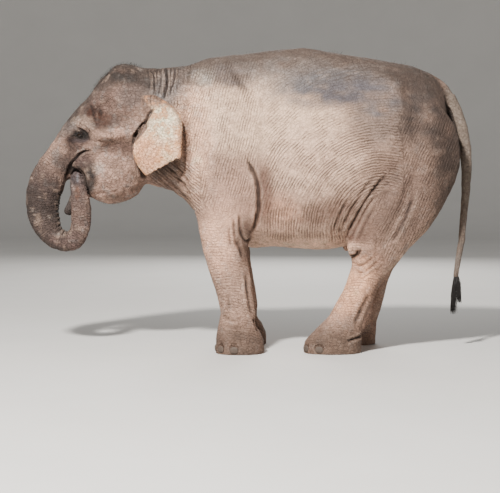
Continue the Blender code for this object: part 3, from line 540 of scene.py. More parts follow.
# The trunk's radius evenly along its middle line, and that line from between the eyes to the tip.
TRUNK_RADII = (0.172, 0.155, 0.143, 0.136, 0.127, 0.112, 0.088, 0.080, 0.074, 0.063, 0.046)
TRUNK_LINE = curve_through((
    (-1.39, 0.0, 1.640), (-1.440, 0.0, 1.578), (-1.538, 0.0, 1.438), (-1.611, 0.0, 1.270),
    (-1.622, 0.0, 1.065), (-1.552, -0.015, 0.900), (-1.427, -0.045, 0.846), (-1.334, -0.067, 0.936),
    (-1.320, -0.080, 1.110), (-1.342, -0.083, 1.301), (-1.353, -0.080, 1.390),
), 4)
TRUNK_LENGTH = np.linalg.norm(np.diff(TRUNK_LINE, axis=0), axis=1).sum()
LOOP_MIDDLE = np.array((-1.46, -0.02, 1.10))
NAIL_SIZE = (0.0095, 0.034, 0.026)  # half depth, half width and half height
NAIL_DROP = 0.012  # how far a nail hangs below the middle of the frame's own
NAIL_LOWEST = 0.0015
FLANK_MIDDLE = np.array((1.035, 0.957))  # the flank's fine wrinkles are arcs round this x, z


def stance(z, sign, limb):
    """How far back a right leg stands at each height, next to the left one."""
    shift = {"fore": 0.022, "hind": 0.160}.get(limb, 0.0) if sign > 0 else 0.0
    return shift * np.clip((1 - z / 1.3) * 1.25, 0, 1)


def pleats(phase):
    """Rounded ridges with sharp valleys between them, from -0.6 to 0.4."""
    return np.abs(np.sin(math.pi * phase)) ** 0.75 - 0.6


# Where the ear's free sheet begins: heights, and its x at each of them.
EAR_OPENING = ((1.30, 1.60, 1.64, 1.867, 1.973), (-0.93, -0.91, -0.896, -0.734, -0.806))


class Clay:
    """The skin while it is modelled: heights are added along its normals."""

    def __init__(self, obj, ear):
        self.obj, self.ear, self.eyes = obj, ear, {}
        self.co = places(obj)
        self.normal = outward(obj)
        self.relief = np.zeros(len(self.co))  # all the fine heights so far, for the colouring
        self.rim = np.zeros(len(self.co))  # the dark skin where the lids part
        self.rings = np.zeros(len(self.co))  # how strong the trunk's rings are
        behind = self.co[:, 0] - np.interp(self.co[:, 2], *EAR_OPENING)
        outer = ease(np.sign(self.co[:, 1]) * self.normal[:, 1], 0.0, 0.4)
        self.front_of_ear = ear * outer * ease(behind, -0.012, 0.012)

    def press(self, height, fine=True):
        """Moves the surface out by height, and measures its normals again."""
        self.co = self.co + self.normal * height[:, None]
        if fine:
            self.relief += height
        set_places(self.obj, self.co)
        self.normal = outward(self.obj)

    def on_side(self, sign):
        """1 on the outer side of that half of her, 0 on the other half and on inner sides."""
        return ease(sign * self.co[:, 1], 0.0, 0.03) * ease(sign * self.normal[:, 1], -0.05, 0.25)

    def lines(self):
        """Presses every drawn line into both sides, fading out towards its ends."""
        height = np.zeros(len(self.co))
        broad = np.zeros(len(self.co))
        flat = self.co[:, [0, 2]]
        for _, sign in SIDES:
            side = self.on_side(sign) * (1 - self.ear)
            for limb, table in LINES.items():
                for _, path, width, depth, lip in table:
                    curve = curve_through(path, 5)
                    curve[:, 0] += stance(curve[:, 1], sign, limb)
                    low, high = curve.min(0) - 4 * width, curve.max(0) + 4 * width
                    near = np.flatnonzero((side > 0) & np.all((flat > low) & (flat < high), axis=1))
                    distance, share = along_curve(flat[near], curve)
                    distance = distance + 0.25 * width * lattice_noise(self.co[near], 0.05, 3)
                    ends = ease(share, 0, LINE_FADE) * ease(share, 1, 1 - LINE_FADE)
                    profile = lip * bump(distance - 2.1 * width, width) - bump(distance, width)
                    target = broad if width > BROAD_LINE else height
                    target[near] += depth * profile * side[near] * ends
        self.press(broad, fine=False)
        self.press(height)

    def hollows(self):
        """Presses in every hollow, and swells every swelling, on both sides."""
        height = np.zeros(len(self.co))
        for _, sign in SIDES:
            for _, place, radius, depth in HOLLOWS:
                middle = np.array((place[0], abs(place[1]) * sign, place[2]))
                share = np.linalg.norm(self.co - middle, axis=1) / radius
                height -= depth * np.where(share < 1, (1 - np.minimum(share, 1) ** 2) ** 2, 0)
        self.press(height, fine=False)


def trunk_place(co):
    """How much each point belongs to the trunk, and how far down the trunk it is, 0 to 1."""
    distance, share = np.full(len(co), 9.0), np.zeros(len(co))
    front = np.flatnonzero(co[:, 0] < -1.15)
    distance[front], share[front] = along_curve(co[front], TRUNK_LINE)
    radius = np.interp(share, np.linspace(0, 1, len(TRUNK_RADII)), TRUNK_RADII)
    return ease(distance, radius + 0.040, radius + 0.010) * ease(share, 0.0, 0.12), share


def grain(co):
    """The lie of the skin's lines: a length across them, and how clear and how deep they are."""
    x, y, z = co.T
    outer = ease(np.abs(y), 0.08, 0.22)
    rear = x - stance(z, 1, "hind") * (y > 0)
    radius = np.hypot(rear - FLANK_MIDDLE[0], z - FLANK_MIDDLE[1])
    arcs = ease(radius, 0.20, 0.34) * ease(x, 1.30, 1.10) * ease(x, 0.02, 0.20) * ease(z, 0.80, 0.90)
    arcs = arcs * outer * (1 - 0.6 * ease(z, 1.55, 2.0))
    shoulder = ease(x, -0.56, -0.44) * ease(x, 0.16, 0.00) * ease(z, 1.02, 1.25) * outer
    thigh = ease(rear, 0.86, 1.05) * ease(z, 0.58, 0.72) * ease(z, 2.0, 1.7) * outer
    chest = ease(x, -0.62, -0.50) * ease(x, -0.28, -0.40) * ease(z, 1.60, 1.40) * ease(z, 1.00, 1.12)
    throat = np.maximum(chest, ease(x, -0.82, -0.74) * ease(x, -0.44, -0.54) * ease(z, 1.55, 1.42))
    nape = ease(x, -0.80, -0.74) * ease(x, -0.36, -0.50) * ease(z, 1.75, 1.95)
    legs = ease(z, 1.05, 0.90) * ease(z, 0.03, 0.12) * ease(x, -0.6, -0.5) * ease(x, 1.4, 1.3)
    trunk, share = trunk_place(co)
    across, clear, deep = (np.zeros(len(co)) for _ in range(3))
    for amount, potential, depth in (
        (0.80 * shoulder, 0.97 * x - 0.25 * z, 0.4),
        (0.70 * thigh, 0.91 * x - 0.41 * z, 0.5),
        (0.42 * legs, z + 0.12 * x + 0.3 * y, 0.25),
        (arcs, radius, 1.0),
        (throat, 0.62 * x + 0.78 * z, 0.9),
        (0.80 * nape, 0.8 * x, 0.15),
        (0.85 * trunk, share * TRUNK_LENGTH, 0.0),
    ):
        better = amount > clear
        across[better] = potential[better]
        clear[better] = amount[better]
        deep[better] = depth * amount[better]
    return across, clear, deep


def ring_strength(clay, trunk, share):
    """The trunk's rings are deep on its inner side, weak outside, and start below the eyes."""
    inner = LOOP_MIDDLE - clay.co
    inner /= np.linalg.norm(inner, axis=1)[:, None]
    inside = ease(np.sum(inner * clay.normal, axis=1), -0.15, 0.75)
    first = ease(share, 0.16, 0.36)
    last = ease(share, 0.86, 0.70)
    return trunk * first * (0.16 + 0.84 * inside) * (0.25 + 0.75 * last)


def wrinkles(clay):
    """Broad wrinkles: arcs on the flank and belly, the throat's folds, and the trunk's rings."""
    across, _, deep = grain(clay.co)
    trunk, share = trunk_place(clay.co)
    warp = 0.016 * lattice_noise(clay.co, 0.16, 21) + 0.006 * lattice_noise(clay.co, 0.05, 22)
    broken = 0.62 + 0.38 * lattice_noise(clay.co, 0.09, 23)
    clay.rings = ring_strength(clay, trunk, share)
    head = ease(clay.co[:, 0], -0.72, -0.95) * (1 - np.minimum(3 * clay.ear, 1))
    spacing = np.where(trunk > 0.4, 0.034 - 0.010 * share, 0.031)
    depth = 0.0082 * deep + 0.0175 * clay.rings
    clay.press(depth * broken * pleats((across + warp * (1 - 0.6 * trunk)) / spacing))
    lumps = 0.0018 * lattice_noise(clay.co, 0.050, 24) + 0.0010 * lattice_noise(clay.co, 0.024, 25)
    clay.press(lumps * (1 + 0.9 * head))


def ear_details(clay):
    """The groove round the ear's opening with the knob in it."""
    height = np.zeros(len(clay.co))
    flat = clay.co[:, [0, 2]]
    near = np.flatnonzero((clay.co[:, 0] > -0.95) & (clay.co[:, 0] < -0.68) & (clay.co[:, 2] > 1.5))
    for _, sign in SIDES:
        side = clay.on_side(sign)[near]
        for path, width, depth in (
            (((-0.890, 1.622), (-0.866, 1.686), (-0.830, 1.738), (-0.794, 1.788), (-0.760, 1.838),
              (-0.735, 1.866)), 0.012, 0.032),
            (((-0.882, 1.648), (-0.848, 1.688), (-0.812, 1.726), (-0.785, 1.752)), 0.019, 0.026),
            (((-0.822, 1.775), (-0.800, 1.800), (-0.770, 1.812)), 0.011, -0.012),
        ):
            distance, share = along_curve(flat[near], curve_through(path, 6))
            ends = ease(share, 0, 0.2) * ease(share, 1, 0.8)
            height[near] -= depth * bump(distance, width) * side * (0.25 + 0.75 * ends)
    clay.press(height)


def eye_axes(clay, name, sign):
    """An eye's centre, and the directions out of the head, up and back along the lids."""
    centre = eye_place(name)
    close = (np.linalg.norm(clay.co - centre, axis=1) < 0.05) & (sign * clay.normal[:, 1] > 0.3)
    out = clay.normal[close].mean(0) + (-0.10, 0, -0.05)
    out /= np.linalg.norm(out)
    up = np.array((0, 0, 1)) - out[2] * out
    up /= np.linalg.norm(up)
    return centre, out, up, np.cross(up, out) * -sign


def parted(along):
    """How far the lids part at each place along their opening: 1 in its middle, 0 at its ends."""
    return np.clip(1 - np.abs(along / OPENING) ** 1.7, -1, 1)


def eye_details(clay, name, sign):
    """Lids that wrap the eyeball and part in an almond opening, with folds round them."""
    centre, out, up, back = clay.eyes[name] = eye_axes(clay, name, sign)
    away = clay.co - centre
    distance = np.linalg.norm(away, axis=1)
    near = np.flatnonzero((distance < 0.09) & (away @ out > -0.01))
    a, b, d = away[near] @ back, away[near] @ up, distance[near]
    b = b - SLANT * a
    above, below = b - 0.0090 * parted(a), -0.0078 * parted(a) - b
    outside = np.maximum(above, below)
    lid = EYE_RADIUS + 0.0040 + 0.0030 * bump(above - 0.005, 0.005) * (b > 0)
    wrapped = d + ease(np.hypot(a, b * 1.1), 0.050, 0.028) * np.maximum(lid - d, 0)
    uneven = 0.7 + 0.5 * lattice_noise(clay.co[near], 0.02, 31)
    folds = -0.0030 * bump(above - 0.0115, 0.0022) * ease(a, -0.035, 0.0)
    folds += -0.0016 * bump(below - 0.0075, 0.0020) - 0.0012 * bump(below - 0.0150, 0.0024)
    folds *= uneven
    wrapped += folds * ease(np.abs(a), 0.044, 0.026)
    opened = ease(outside, 0.0012, -0.0014)
    reached = wrapped + opened * (EYE_RADIUS - 0.006 - wrapped)
    clay.relief[near] += folds - 0.012 * opened
    clay.rim[near] = np.maximum(clay.rim[near], ease(outside, 0.0200, 0.0060))
    clay.co[near] = centre + away[near] / d[:, None] * reached[:, None]
    set_places(clay.obj, clay.co)
    clay.normal = outward(clay.obj)


def nail_places():
    """Each toenail of the frame: its name, its centre and the direction out of its foot."""
    made = []
    for node in (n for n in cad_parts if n.startswith("nail_")):
        centre = np.mean(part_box(node), axis=0)
        foot, _, _ = node.removeprefix("nail_").rpartition("_")
        low, high = np.array(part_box(foot))
        out = (centre - (low + high) / 2) / ((high - low) / 2) ** 2 * (1, 1, 0)
        made.append((node, centre, out / np.linalg.norm(out)))
    return made


def nail_beds(clay):
    """A furrow round each nail, with the skin swollen over its top."""
    height = np.zeros(len(clay.co))
    feet = np.flatnonzero(clay.co[:, 2] < 0.14)
    for _, centre, out in nail_places():
        side = np.cross((0, 0, 1), out)
        away = clay.co[feet] - centre
        near = (away @ out > -0.01) & (np.linalg.norm(away, axis=1) < 0.09)
        ring = np.hypot(away @ side / NAIL_SIZE[1], away[:, 2] / NAIL_SIZE[2])
        height[feet] += near * (0.0025 * bump(ring - 1.32, 0.16) - 0.0035 * bump(ring - 1.06, 0.10))
    clay.press(height)


def mouth_details(clay):
    """The deep arch round the trunk's tip where it enters the mouth, on her left side."""
    near = np.flatnonzero((clay.co[:, 0] < -1.2) & (np.abs(clay.co[:, 1]) < 0.35))
    arch = curve_through(((-1.398, 1.324), (-1.391, 1.372), (-1.366, 1.404), (-1.335, 1.413),
                          (-1.302, 1.400), (-1.279, 1.360), (-1.262, 1.280), (-1.240, 1.180)), 6)
    distance, share = along_curve(clay.co[near][:, [0, 2]], arch)
    height = np.zeros(len(clay.co))
    height[near] = -0.010 * bump(distance, 0.0075) * clay.on_side(-1)[near] * ease(share, 0, 0.15)
    clay.press(height)


def keep_in_box(obj):
    """Flattens whatever stands out of the frame's own bounds, and rests the soles on the floor."""
    low, high = np.array(cad_box)
    set_places(obj, np.clip(places(obj), low + BOX_MARGINS[0], high - BOX_MARGINS[1]))


def modelled(skin, ear):
    """All the modelling, from the broadest form to the finest fold."""
    clay = Clay(skin, ear)
    clay.hollows()
    clay.lines()
    wrinkles(clay)
    ear_details(clay)
    mouth_details(clay)
    for name, sign in SIDES:
        eye_details(clay, name, sign)
    nail_beds(clay)
    keep_in_box(skin)
    clay.co = places(skin)
    return clay


def thinned(skin, co):
    """Brings the skin under the limit on triangles, and keeps the head's the finest."""
    care = skin.vertex_groups.new(name="care")
    steps = np.round(ease(co[:, 0], -0.48, -0.85) * (CARE_LEVELS - 1))
    for level in range(1, CARE_LEVELS):
        care.add(np.flatnonzero(steps == level).tolist(), level / CARE_LEVELS, "REPLACE")
    with_modifier(skin, "DECIMATE", ratio=SKIN_TRIANGLES / (2 * len(skin.data.polygons)),
                  vertex_group="care", invert_vertex_group=True, vertex_group_factor=HEAD_CARE)


# ------------------------------------------------------------------ colouring the skin
def tone(red, green, blue):
    """The hide's own colour where it should look like this, 0 to 255, in the studio's light."""
    colour = np.array((red, green, blue)) / 255
    grey = colour.mean()
    vivid = grey + (0.75 + 0.60 * grey) * (colour - grey)
    return 0.90 * np.clip(vivid, 0.02, 1) ** 3


def patch(co, x, z, wide, high, tilt=0.0):
    """1 in the middle of an upright oval patch on both flanks, fading to 0 at its edge."""
    turn = math.radians(tilt)
    dx, dz = co[:, 0] - x, co[:, 2] - z
    along = (dx * math.cos(turn) + dz * math.sin(turn)) / wide
    across = (dz * math.cos(turn) - dx * math.sin(turn)) / high
    return ease(np.hypot(along, across), 1.0, 0.35)


# Patches of colour: place as x and z, half sizes, tilt, how strong, how broken up, colour.
PATCHES = (
    ("back", (0.35, 2.16), (1.25, 0.26), -3, 0.90, 0.7, (156, 147, 142)),
    ("bright flank", (0.12, 1.80), (0.95, 0.40), -3, 0.90, 0.3, (238, 215, 196)),
    ("pale shoulder", (-0.44, 1.64), (0.22, 0.56), 0, 0.90, 0.5, (246, 214, 193)),
    ("middle flank", (0.52, 1.46), (0.56, 0.40), 0, 0.75, 0.4, (232, 208, 191)),
    ("loin", (0.98, 1.86), (0.36, 0.40), 0, 0.80, 0.6, (160, 145, 137)),
    ("low flank", (0.70, 0.97), (0.48, 0.32), 0, 0.85, 0.5, (138, 111, 99)),
    ("belly front", (0.22, 1.03), (0.24, 0.28), 0, 0.75, 0.5, (224, 189, 169)),
    # painted shade: the arm's shadow on the chest behind it
    ("behind the arm", (0.12, 1.20), (0.10, 0.38), 0, 0.75, 0.5, (136, 109, 98)),
    # painted light: bounce light from the floor on the belly's lower edge
    ("belly edge", (0.42, 0.82), (0.66, 0.085), 0, 1.00, 0.3, (244, 214, 195)),
    ("hip", (1.34, 1.86), (0.32, 0.48), 0, 0.90, 0.6, (100, 92, 89)),
    ("dark rump", (1.32, 2.10), (0.36, 0.18), -20, 0.90, 0.8, (104, 93, 87)),
    ("thigh", (1.18, 1.20), (0.44, 0.52), -15, 0.80, 0.7, (144, 124, 114)),
    # painted shade on the rump's rear, which is turned away from the key light
    ("dark rear", (1.56, 1.45), (0.26, 0.76), 0, 0.90, 0.6, (88, 76, 70)),
    ("dusty back", (0.62, 2.06), (0.64, 0.20), 8, 0.85, 1.4, (140, 137, 138)),
    ("dusty back", (0.72, 2.000), (0.50, 0.15), 8, 0.85, 1.2, (124, 120, 124)),
    ("dusty loin", (1.02, 1.90), (0.20, 0.14), 20, 0.60, 1.8, (128, 124, 126)),
    ("dusty shoulder", (-0.14, 2.13), (0.24, 0.12), -20, 0.75, 1.5, (138, 128, 125)),
    ("pale withers", (-0.37, 2.13), (0.16, 0.12), 0, 0.60, 1.2, (186, 177, 168)),
    ("nape", (-0.66, 2.08), (0.28, 0.28), 0, 0.90, 0.8, (142, 138, 137)),
    ("upper arm", (-0.12, 1.16), (0.24, 0.36), 0, 0.70, 0.6, (206, 178, 163)),
    ("forearm", (-0.22, 0.88), (0.24, 0.38), 0, 0.80, 0.5, (232, 200, 181)),
    ("elbow shade", (-0.03, 0.88), (0.12, 0.24), 0, 0.80, 0.5, (98, 78, 71)),
    ("forefoot", (-0.08, 0.06), (0.38, 0.22), 0, 0.90, 0.7, (130, 113, 103)),
    ("knee", (0.92, 0.72), (0.18, 0.15), 0, 0.70, 0.7, (160, 131, 116)),
    ("pale shank", (0.78, 0.52), (0.22, 0.34), -35, 0.90, 0.4, (242, 203, 178)),
    ("shank back", (0.98, 0.40), (0.11, 0.32), -20, 0.65, 0.6, (156, 129, 115)),
    ("hindfoot", (0.66, 0.06), (0.40, 0.20), 0, 0.90, 0.7, (136, 118, 107)),
    ("forehead", (-1.21, 2.00), (0.34, 0.24), -50, 0.90, 0.8, (112, 100, 95)),
    ("crown", (-0.98, 2.18), (0.36, 0.18), 0, 0.95, 0.7, (84, 77, 74)),
    ("temple", (-1.04, 1.88), (0.26, 0.22), 0, 0.85, 0.8, (142, 121, 112)),
    ("rust", (-1.19, 1.82), (0.11, 0.15), 30, 0.85, 2.2, (90, 62, 51)),
    ("rust", (-1.08, 1.79), (0.17, 0.07), 0, 0.60, 2.6, (108, 80, 68)),
    ("cheek arch", (-1.06, 1.692), (0.26, 0.048), 4, 0.90, 0.4, (196, 170, 156)),
    ("brow", (-1.30, 1.785), (0.14, 0.045), -30, 0.80, 0.5, (178, 158, 147)),
    ("before the ear", (-0.92, 1.74), (0.08, 0.13), 0, 0.55, 0.6, (178, 157, 146)),
    ("under the arch", (-1.01, 1.57), (0.22, 0.10), 0, 0.80, 0.7, (122, 102, 94)),
    ("cheek", (-1.08, 1.40), (0.30, 0.20), 10, 0.70, 1.2, (182, 158, 146)),
    ("jaw", (-1.06, 1.23), (0.30, 0.15), 0, 0.80, 0.7, (184, 159, 147)),
    ("upper lip", (-1.31, 1.475), (0.16, 0.12), 0, 0.90, 0.5, (114, 97, 92)),
    ("mouth corner", (-1.235, 1.34), (0.09, 0.18), -8, 0.90, 0.6, (84, 77, 75)),
    ("trunk root", (-1.52, 1.58), (0.17, 0.14), 50, 0.70, 0.8, (184, 160, 147)),
    ("beside the groove", (-1.45, 1.46), (0.10, 0.15), 40, 0.75, 0.5, (120, 105, 99)),
    ("tear stain", (-1.372, 1.618), (0.075, 0.090), 30, 0.85, 1.4, (64, 46, 44)),
    ("bag under the eye", (-1.290, 1.600), (0.100, 0.050), 8, 0.70, 1.2, (118, 97, 91)),
    ("pale bag", (-1.250, 1.592), (0.060, 0.032), 14, 0.65, 0.5, (180, 156, 145)),
    ("lower lid", (-1.288, 1.644), (0.095, 0.034), 6, 0.85, 0.4, (92, 86, 92)),
    # dark skin round the eye, with painted shade under the brow
    ("round the eye", (-1.298, 1.686), (0.120, 0.062), -8, 1.00, 0.0, (8, 8, 12)),
    ("behind the crown", (-0.82, 2.11), (0.17, 0.16), 0, 0.90, 0.8, (92, 83, 79)),
    ("above the ear", (-0.90, 1.98), (0.17, 0.13), 0, 0.85, 0.8, (134, 119, 113)),
    ("nose bridge", (-1.42, 1.76), (0.10, 0.16), -40, 0.70, 1.2, (128, 118, 114)),
    # dark hair, with painted shade on the front of the forehead
    ("dark brow", (-1.375, 1.842), (0.085, 0.095), -50, 0.80, 1.2, (92, 86, 83)),
    # painted shadow of the ear on the neck behind it
    ("behind the ear", (-0.480, 1.620), (0.050, 0.330), 4, 0.75, 0.4, (112, 90, 81)),
    ("throat", (-0.62, 1.36), (0.26, 0.26), 0, 0.65, 0.7, (146, 124, 114)),
    # painted shadow of the ear, cast on the neck below it
    ("below the ear", (-0.625, 1.430), (0.190, 0.080), 20, 0.75, 0.4, (92, 75, 68)),
)
# The trunk's colour from its root to its tip, evenly along it.
TRUNK_TONES = (
    (160, 138, 127), (158, 136, 125), (128, 111, 104), (100, 88, 84), (100, 89, 85), (114, 101, 96),
    (120, 105, 100), (134, 116, 110), (142, 123, 115), (122, 109, 106), (94, 92, 98),
)


def worn_parts(co):
    """How rough and uneven the hide is: most on head and trunk, least on the smooth flanks."""
    x, _, z = co.T
    amount = 0.12 + 0.80 * ease(x, -0.10, -0.70) + 0.3 * ease(z, 1.0, 0.7) + 0.3 * ease(z, 1.95, 2.15)
    return np.clip(amount + 0.3 * ease(x, 0.9, 1.2), 0, 1)


def painted(clay):
    """The hide's colour at each vertex, with its marks, dust, creases and stains, and some painted shade,
    painted shadow and painted light.
    """
    co, relief = clay.co, clay.relief
    x, y, z = co.T
    coarse = lattice_noise(co, 0.30, 41)
    middle = lattice_noise(co, 0.085, 42)
    small = lattice_noise(co, 0.030, 43)
    streaks = lattice_noise(co * (1, 1, 3.0) + z[:, None] * (0.6, 0, 0), 0.10, 44)
    trunk, share = trunk_place(co)
    colour = np.tile(tone(190, 166, 152), (len(co), 1))

    def lay(amount, shade):
        """Covers what is there with another colour, by this much at each point."""
        colour[:] += np.clip(amount, 0, 1)[:, None] * (shade - colour)

    lay(ease(x, -0.72, -0.95) * 0.90, tone(160, 138, 127))
    lay(ease(x, -1.10, -1.40) * 0.60, tone(140, 122, 114))
    lay(ease(z, 0.45, 0.05) * 0.60, tone(165, 140, 126))
    tail = ease(x, 1.50, 1.60) * ease(np.abs(y), 0.12, 0.07)
    along_trunk = np.linspace(0, 1, len(TRUNK_TONES))
    trunk_tones = np.array([tone(*shade) for shade in TRUNK_TONES]).T
    lay(trunk * ease(share, 0.08, 0.22),
        np.stack([np.interp(share, along_trunk, channel) for channel in trunk_tones], 1))
    for _, (px, pz), (wide, high), tilt, amount, broken, shade in PATCHES:
        noise = broken * (0.40 * middle + 0.20 * small + 0.30 * coarse + 0.35 * streaks)
        limits = patch(co, px, pz, wide, high, tilt)
        lay(limits * np.clip(amount + amount * noise, 0, 1) * ease(np.abs(y), 0.02, 0.07), tone(*shade))
    # skin that faces up, high on her, is darker: partly dirt, partly painted shade
    top = ease(clay.normal[:, 2], 0.35, 0.95) * ease(z, 1.5, 1.9)
    lay(top * 0.90, tone(112, 100, 93))
    # painted light: skin that faces down is lightened as if lit by bounce light from the floor
    bounce_lit_underside = ease(clay.normal[:, 2], -0.30, -0.90) * ease(z, 0.3, 0.7) * ease(x, -0.6, -0.4)
    lay(bounce_lit_underside * 0.8, tone(244, 220, 204))
    # lightens the rump's surfaces that face backwards, so that the painted shade of the dark rear stays on
    # her side
    lay(ease(clay.normal[:, 0], 0.45, 0.90) * ease(x, 1.25, 1.40) * 0.75, tone(132, 117, 108))
    lay(tail * 0.9, tone(138, 128, 120))
    # painted light on the tail's upper part, which lies in the rump's shadow, with fewer dark blotches
    # there
    lay(tail * ease(z, 1.0, 1.3) * 0.7, tone(160, 149, 139))
    lay(tail * ease(middle + small, 0.0, 0.8) * (0.25 + 0.55 * ease(z, 1.0, 0.8)), tone(84, 77, 74))
    # painted shade in the narrow gap between tail and rump
    gap = patch(co, 1.580, 1.750, 0.045, 0.190, 14) * ease(np.abs(y), 0.06, 0.03)
    lay(gap * 0.8, tone(52, 46, 45))
    lower_lip = ease(x, -1.36, -1.38) * ease(z, 1.26, 1.22) * ease(y, 0.0, 0.01) * (1 - trunk)
    lay(lower_lip, tone(98, 90, 87))
    lay(trunk * ease(share, 0.42, 0.55) * ease(middle + 0.6 * small, 0.0, 0.7) * 0.15, tone(160, 132, 126))
    lay(clay.ear * 0.8, tone(160, 138, 126))
    front = clay.front_of_ear
    lay(front * 0.95, tone(245, 213, 189))
    lay(front * patch(co, -0.66, 1.78, 0.22, 0.20) * 0.9, tone(255, 238, 218))
    lay(front * patch(co, -0.78, 1.53, 0.16, 0.17) * ease(middle, -0.8, 0.3) * 0.8, tone(224, 182, 156))
    lay(front * patch(co, -0.76, 1.96, 0.24, 0.09, -14) * 0.90, tone(148, 131, 122))
    edge, _ = along_curve(co[:, [0, 2]], np.array(EAR_RIM[:EAR_BACK])[:, [0, 2]])
    lay(front * ease(edge, 0.026, 0.008) * 0.65, tone(138, 114, 101))
    left = y < -0.05
    lay(patch(co, -1.338, 1.235, 0.030, 0.100, 6) * left * (0.60 + 0.5 * small), tone(140, 102, 80))
    lay(patch(co, -1.368, 1.260, 0.016, 0.075, 12) * left * 0.6, tone(176, 158, 150))
    # painted highlight: a pale blue-grey streak of sheen down the trunk's tip
    lay(patch(co, -1.335, 1.345, 0.014, 0.055) * left * 0.6, tone(150, 148, 154))
    # the trunk's dark rings, with painted shade on the inner side of its loop
    lay(clay.rings * (0.35 + 0.65 * ease(share, 0.75, 0.55)) * 0.90, tone(50, 46, 47))
    # darker where the skin is pressed in: dirt and painted shade in the creases
    lay(ease(relief, -0.0010, -0.0090) * 0.80, tone(48, 38, 36))
    # lighter on raised folds: dust and a painted highlight
    lay(ease(relief, 0.0008, 0.0036) * 0.25, tone(214, 194, 180))
    lay(clay.rim, tone(22, 18, 20))
    uneven = (0.05 + 0.12 * worn_parts(co)) * (0.6 * coarse + 0.7 * middle + 1.3 * small + streaks)
    return np.clip(colour * (1 + uneven)[:, None], 0.003, 0.85)


def add_values(obj, name, values):
    """Stores a number or a colour at each vertex for the shaders."""
    if values.ndim == 1:
        obj.data.attributes.new(name, "FLOAT", "POINT").data.foreach_set("value", values)
    else:
        full = np.concatenate([values, np.ones((len(values), 1))], 1)
        obj.data.attributes.new(name, "FLOAT_COLOR", "POINT").data.foreach_set("color", full.ravel())


# ------------------------------------------------------------------ materials
class Wire:
    """An output socket in a shader network that can be used in sums."""

    def __init__(self, tree, socket):
        self.tree, self.socket = tree, socket

    def node(self, kind, settings=None, sockets=None, output=0):
        """Any node: its settings first, then its sockets, each a wire or a constant."""
        made = self.tree.nodes.new(kind)
        for name, value in (settings or {}).items():
            setattr(made, name, value)
        for name, value in (sockets or {}).items():
            if isinstance(value, Wire):
                self.tree.links.new(value.socket, made.inputs[name])
            else:
                made.inputs[name].default_value = value
        return Wire(self.tree, made.outputs[output])

    def math(self, operation, *values):
        return self.node("ShaderNodeMath", {"operation": operation}, dict(enumerate(values)))

    def __add__(self, other):
        return self.math("ADD", self, other)

    __radd__ = __add__

    def __sub__(self, other):
        return self.math("SUBTRACT", self, other)

    def __rsub__(self, other):
        return self.math("SUBTRACT", other, self)

    def __mul__(self, other):
        return self.math("MULTIPLY", self, other)

    __rmul__ = __mul__

    def __pow__(self, other):
        return self.math("POWER", self, other)

    def step(self, low, high):
        """0 at low, 1 at high, smooth between."""
        return self.node("ShaderNodeMapRange", {"interpolation_type": "SMOOTHSTEP"},
                         {"Value": self, "From Min": low, "From Max": high})

    def noise(self, scale, detail=3.0, rough=0.55):
        return self.node("ShaderNodeTexNoise", None,
                         {"Vector": self, "Scale": scale, "Detail": detail, "Roughness": rough})

    def cells(self, scale):
        """The distance to the border of the nearest cell of an irregular net."""
        return self.node("ShaderNodeTexVoronoi", {"feature": "DISTANCE_TO_EDGE"},
                         {"Vector": self, "Scale": scale})

    def value(self, name, output="Fac"):
        """A number stored on the mesh."""
        return self.node("ShaderNodeAttribute", {"attribute_name": name}, None, output)

    def stretched(self, x, y, z):
        return self.node("ShaderNodeVectorMath", {"operation": "MULTIPLY"}, {0: self, 1: (x, y, z)})

    def scaled(self, factor):
        return self.node("ShaderNodeVectorMath", {"operation": "SCALE"}, {0: self, "Scale": factor})

    def plus(self, other):
        return self.node("ShaderNodeVectorMath", {"operation": "ADD"}, {0: self, 1: other})

    def between(self, first, second):
        """The first colour where this number is 0, the second where it is 1."""
        return self.node("ShaderNodeMix", {"data_type": "RGBA"}, {0: self, 6: first, 7: second}, 2)

    def toward(self, shade, amount):
        """This colour mixed towards another."""
        return amount.between(self, shade)

    def brightness(self):
        """This colour's grey."""
        return self.node("ShaderNodeRGBToBW", None, {0: self})

    def bumps(self, strength, distance):
        """A surface that stands out by this height."""
        return self.node("ShaderNodeBump", None,
                         {"Strength": strength, "Distance": distance, "Height": self})


def material(name, **constants):
    """A material with its shader's constants set, its shader, and its object coordinates."""
    made = bpy.data.materials.new(name)
    made.use_nodes = True
    tree = made.node_tree
    shader = tree.nodes["Principled BSDF"]
    for key, value in constants.items():
        shader.inputs[key.replace("_", " ")].default_value = value
    coordinates = tree.nodes.new("ShaderNodeTexCoord")
    return made, shader, Wire(tree, coordinates.outputs["Object"])


def feed(shader, **wires):
    """Links each wire to the shader's socket of that name."""
    for key, wire in wires.items():
        wire.tree.links.new(wire.socket, shader.inputs[key.replace("_", " ")])


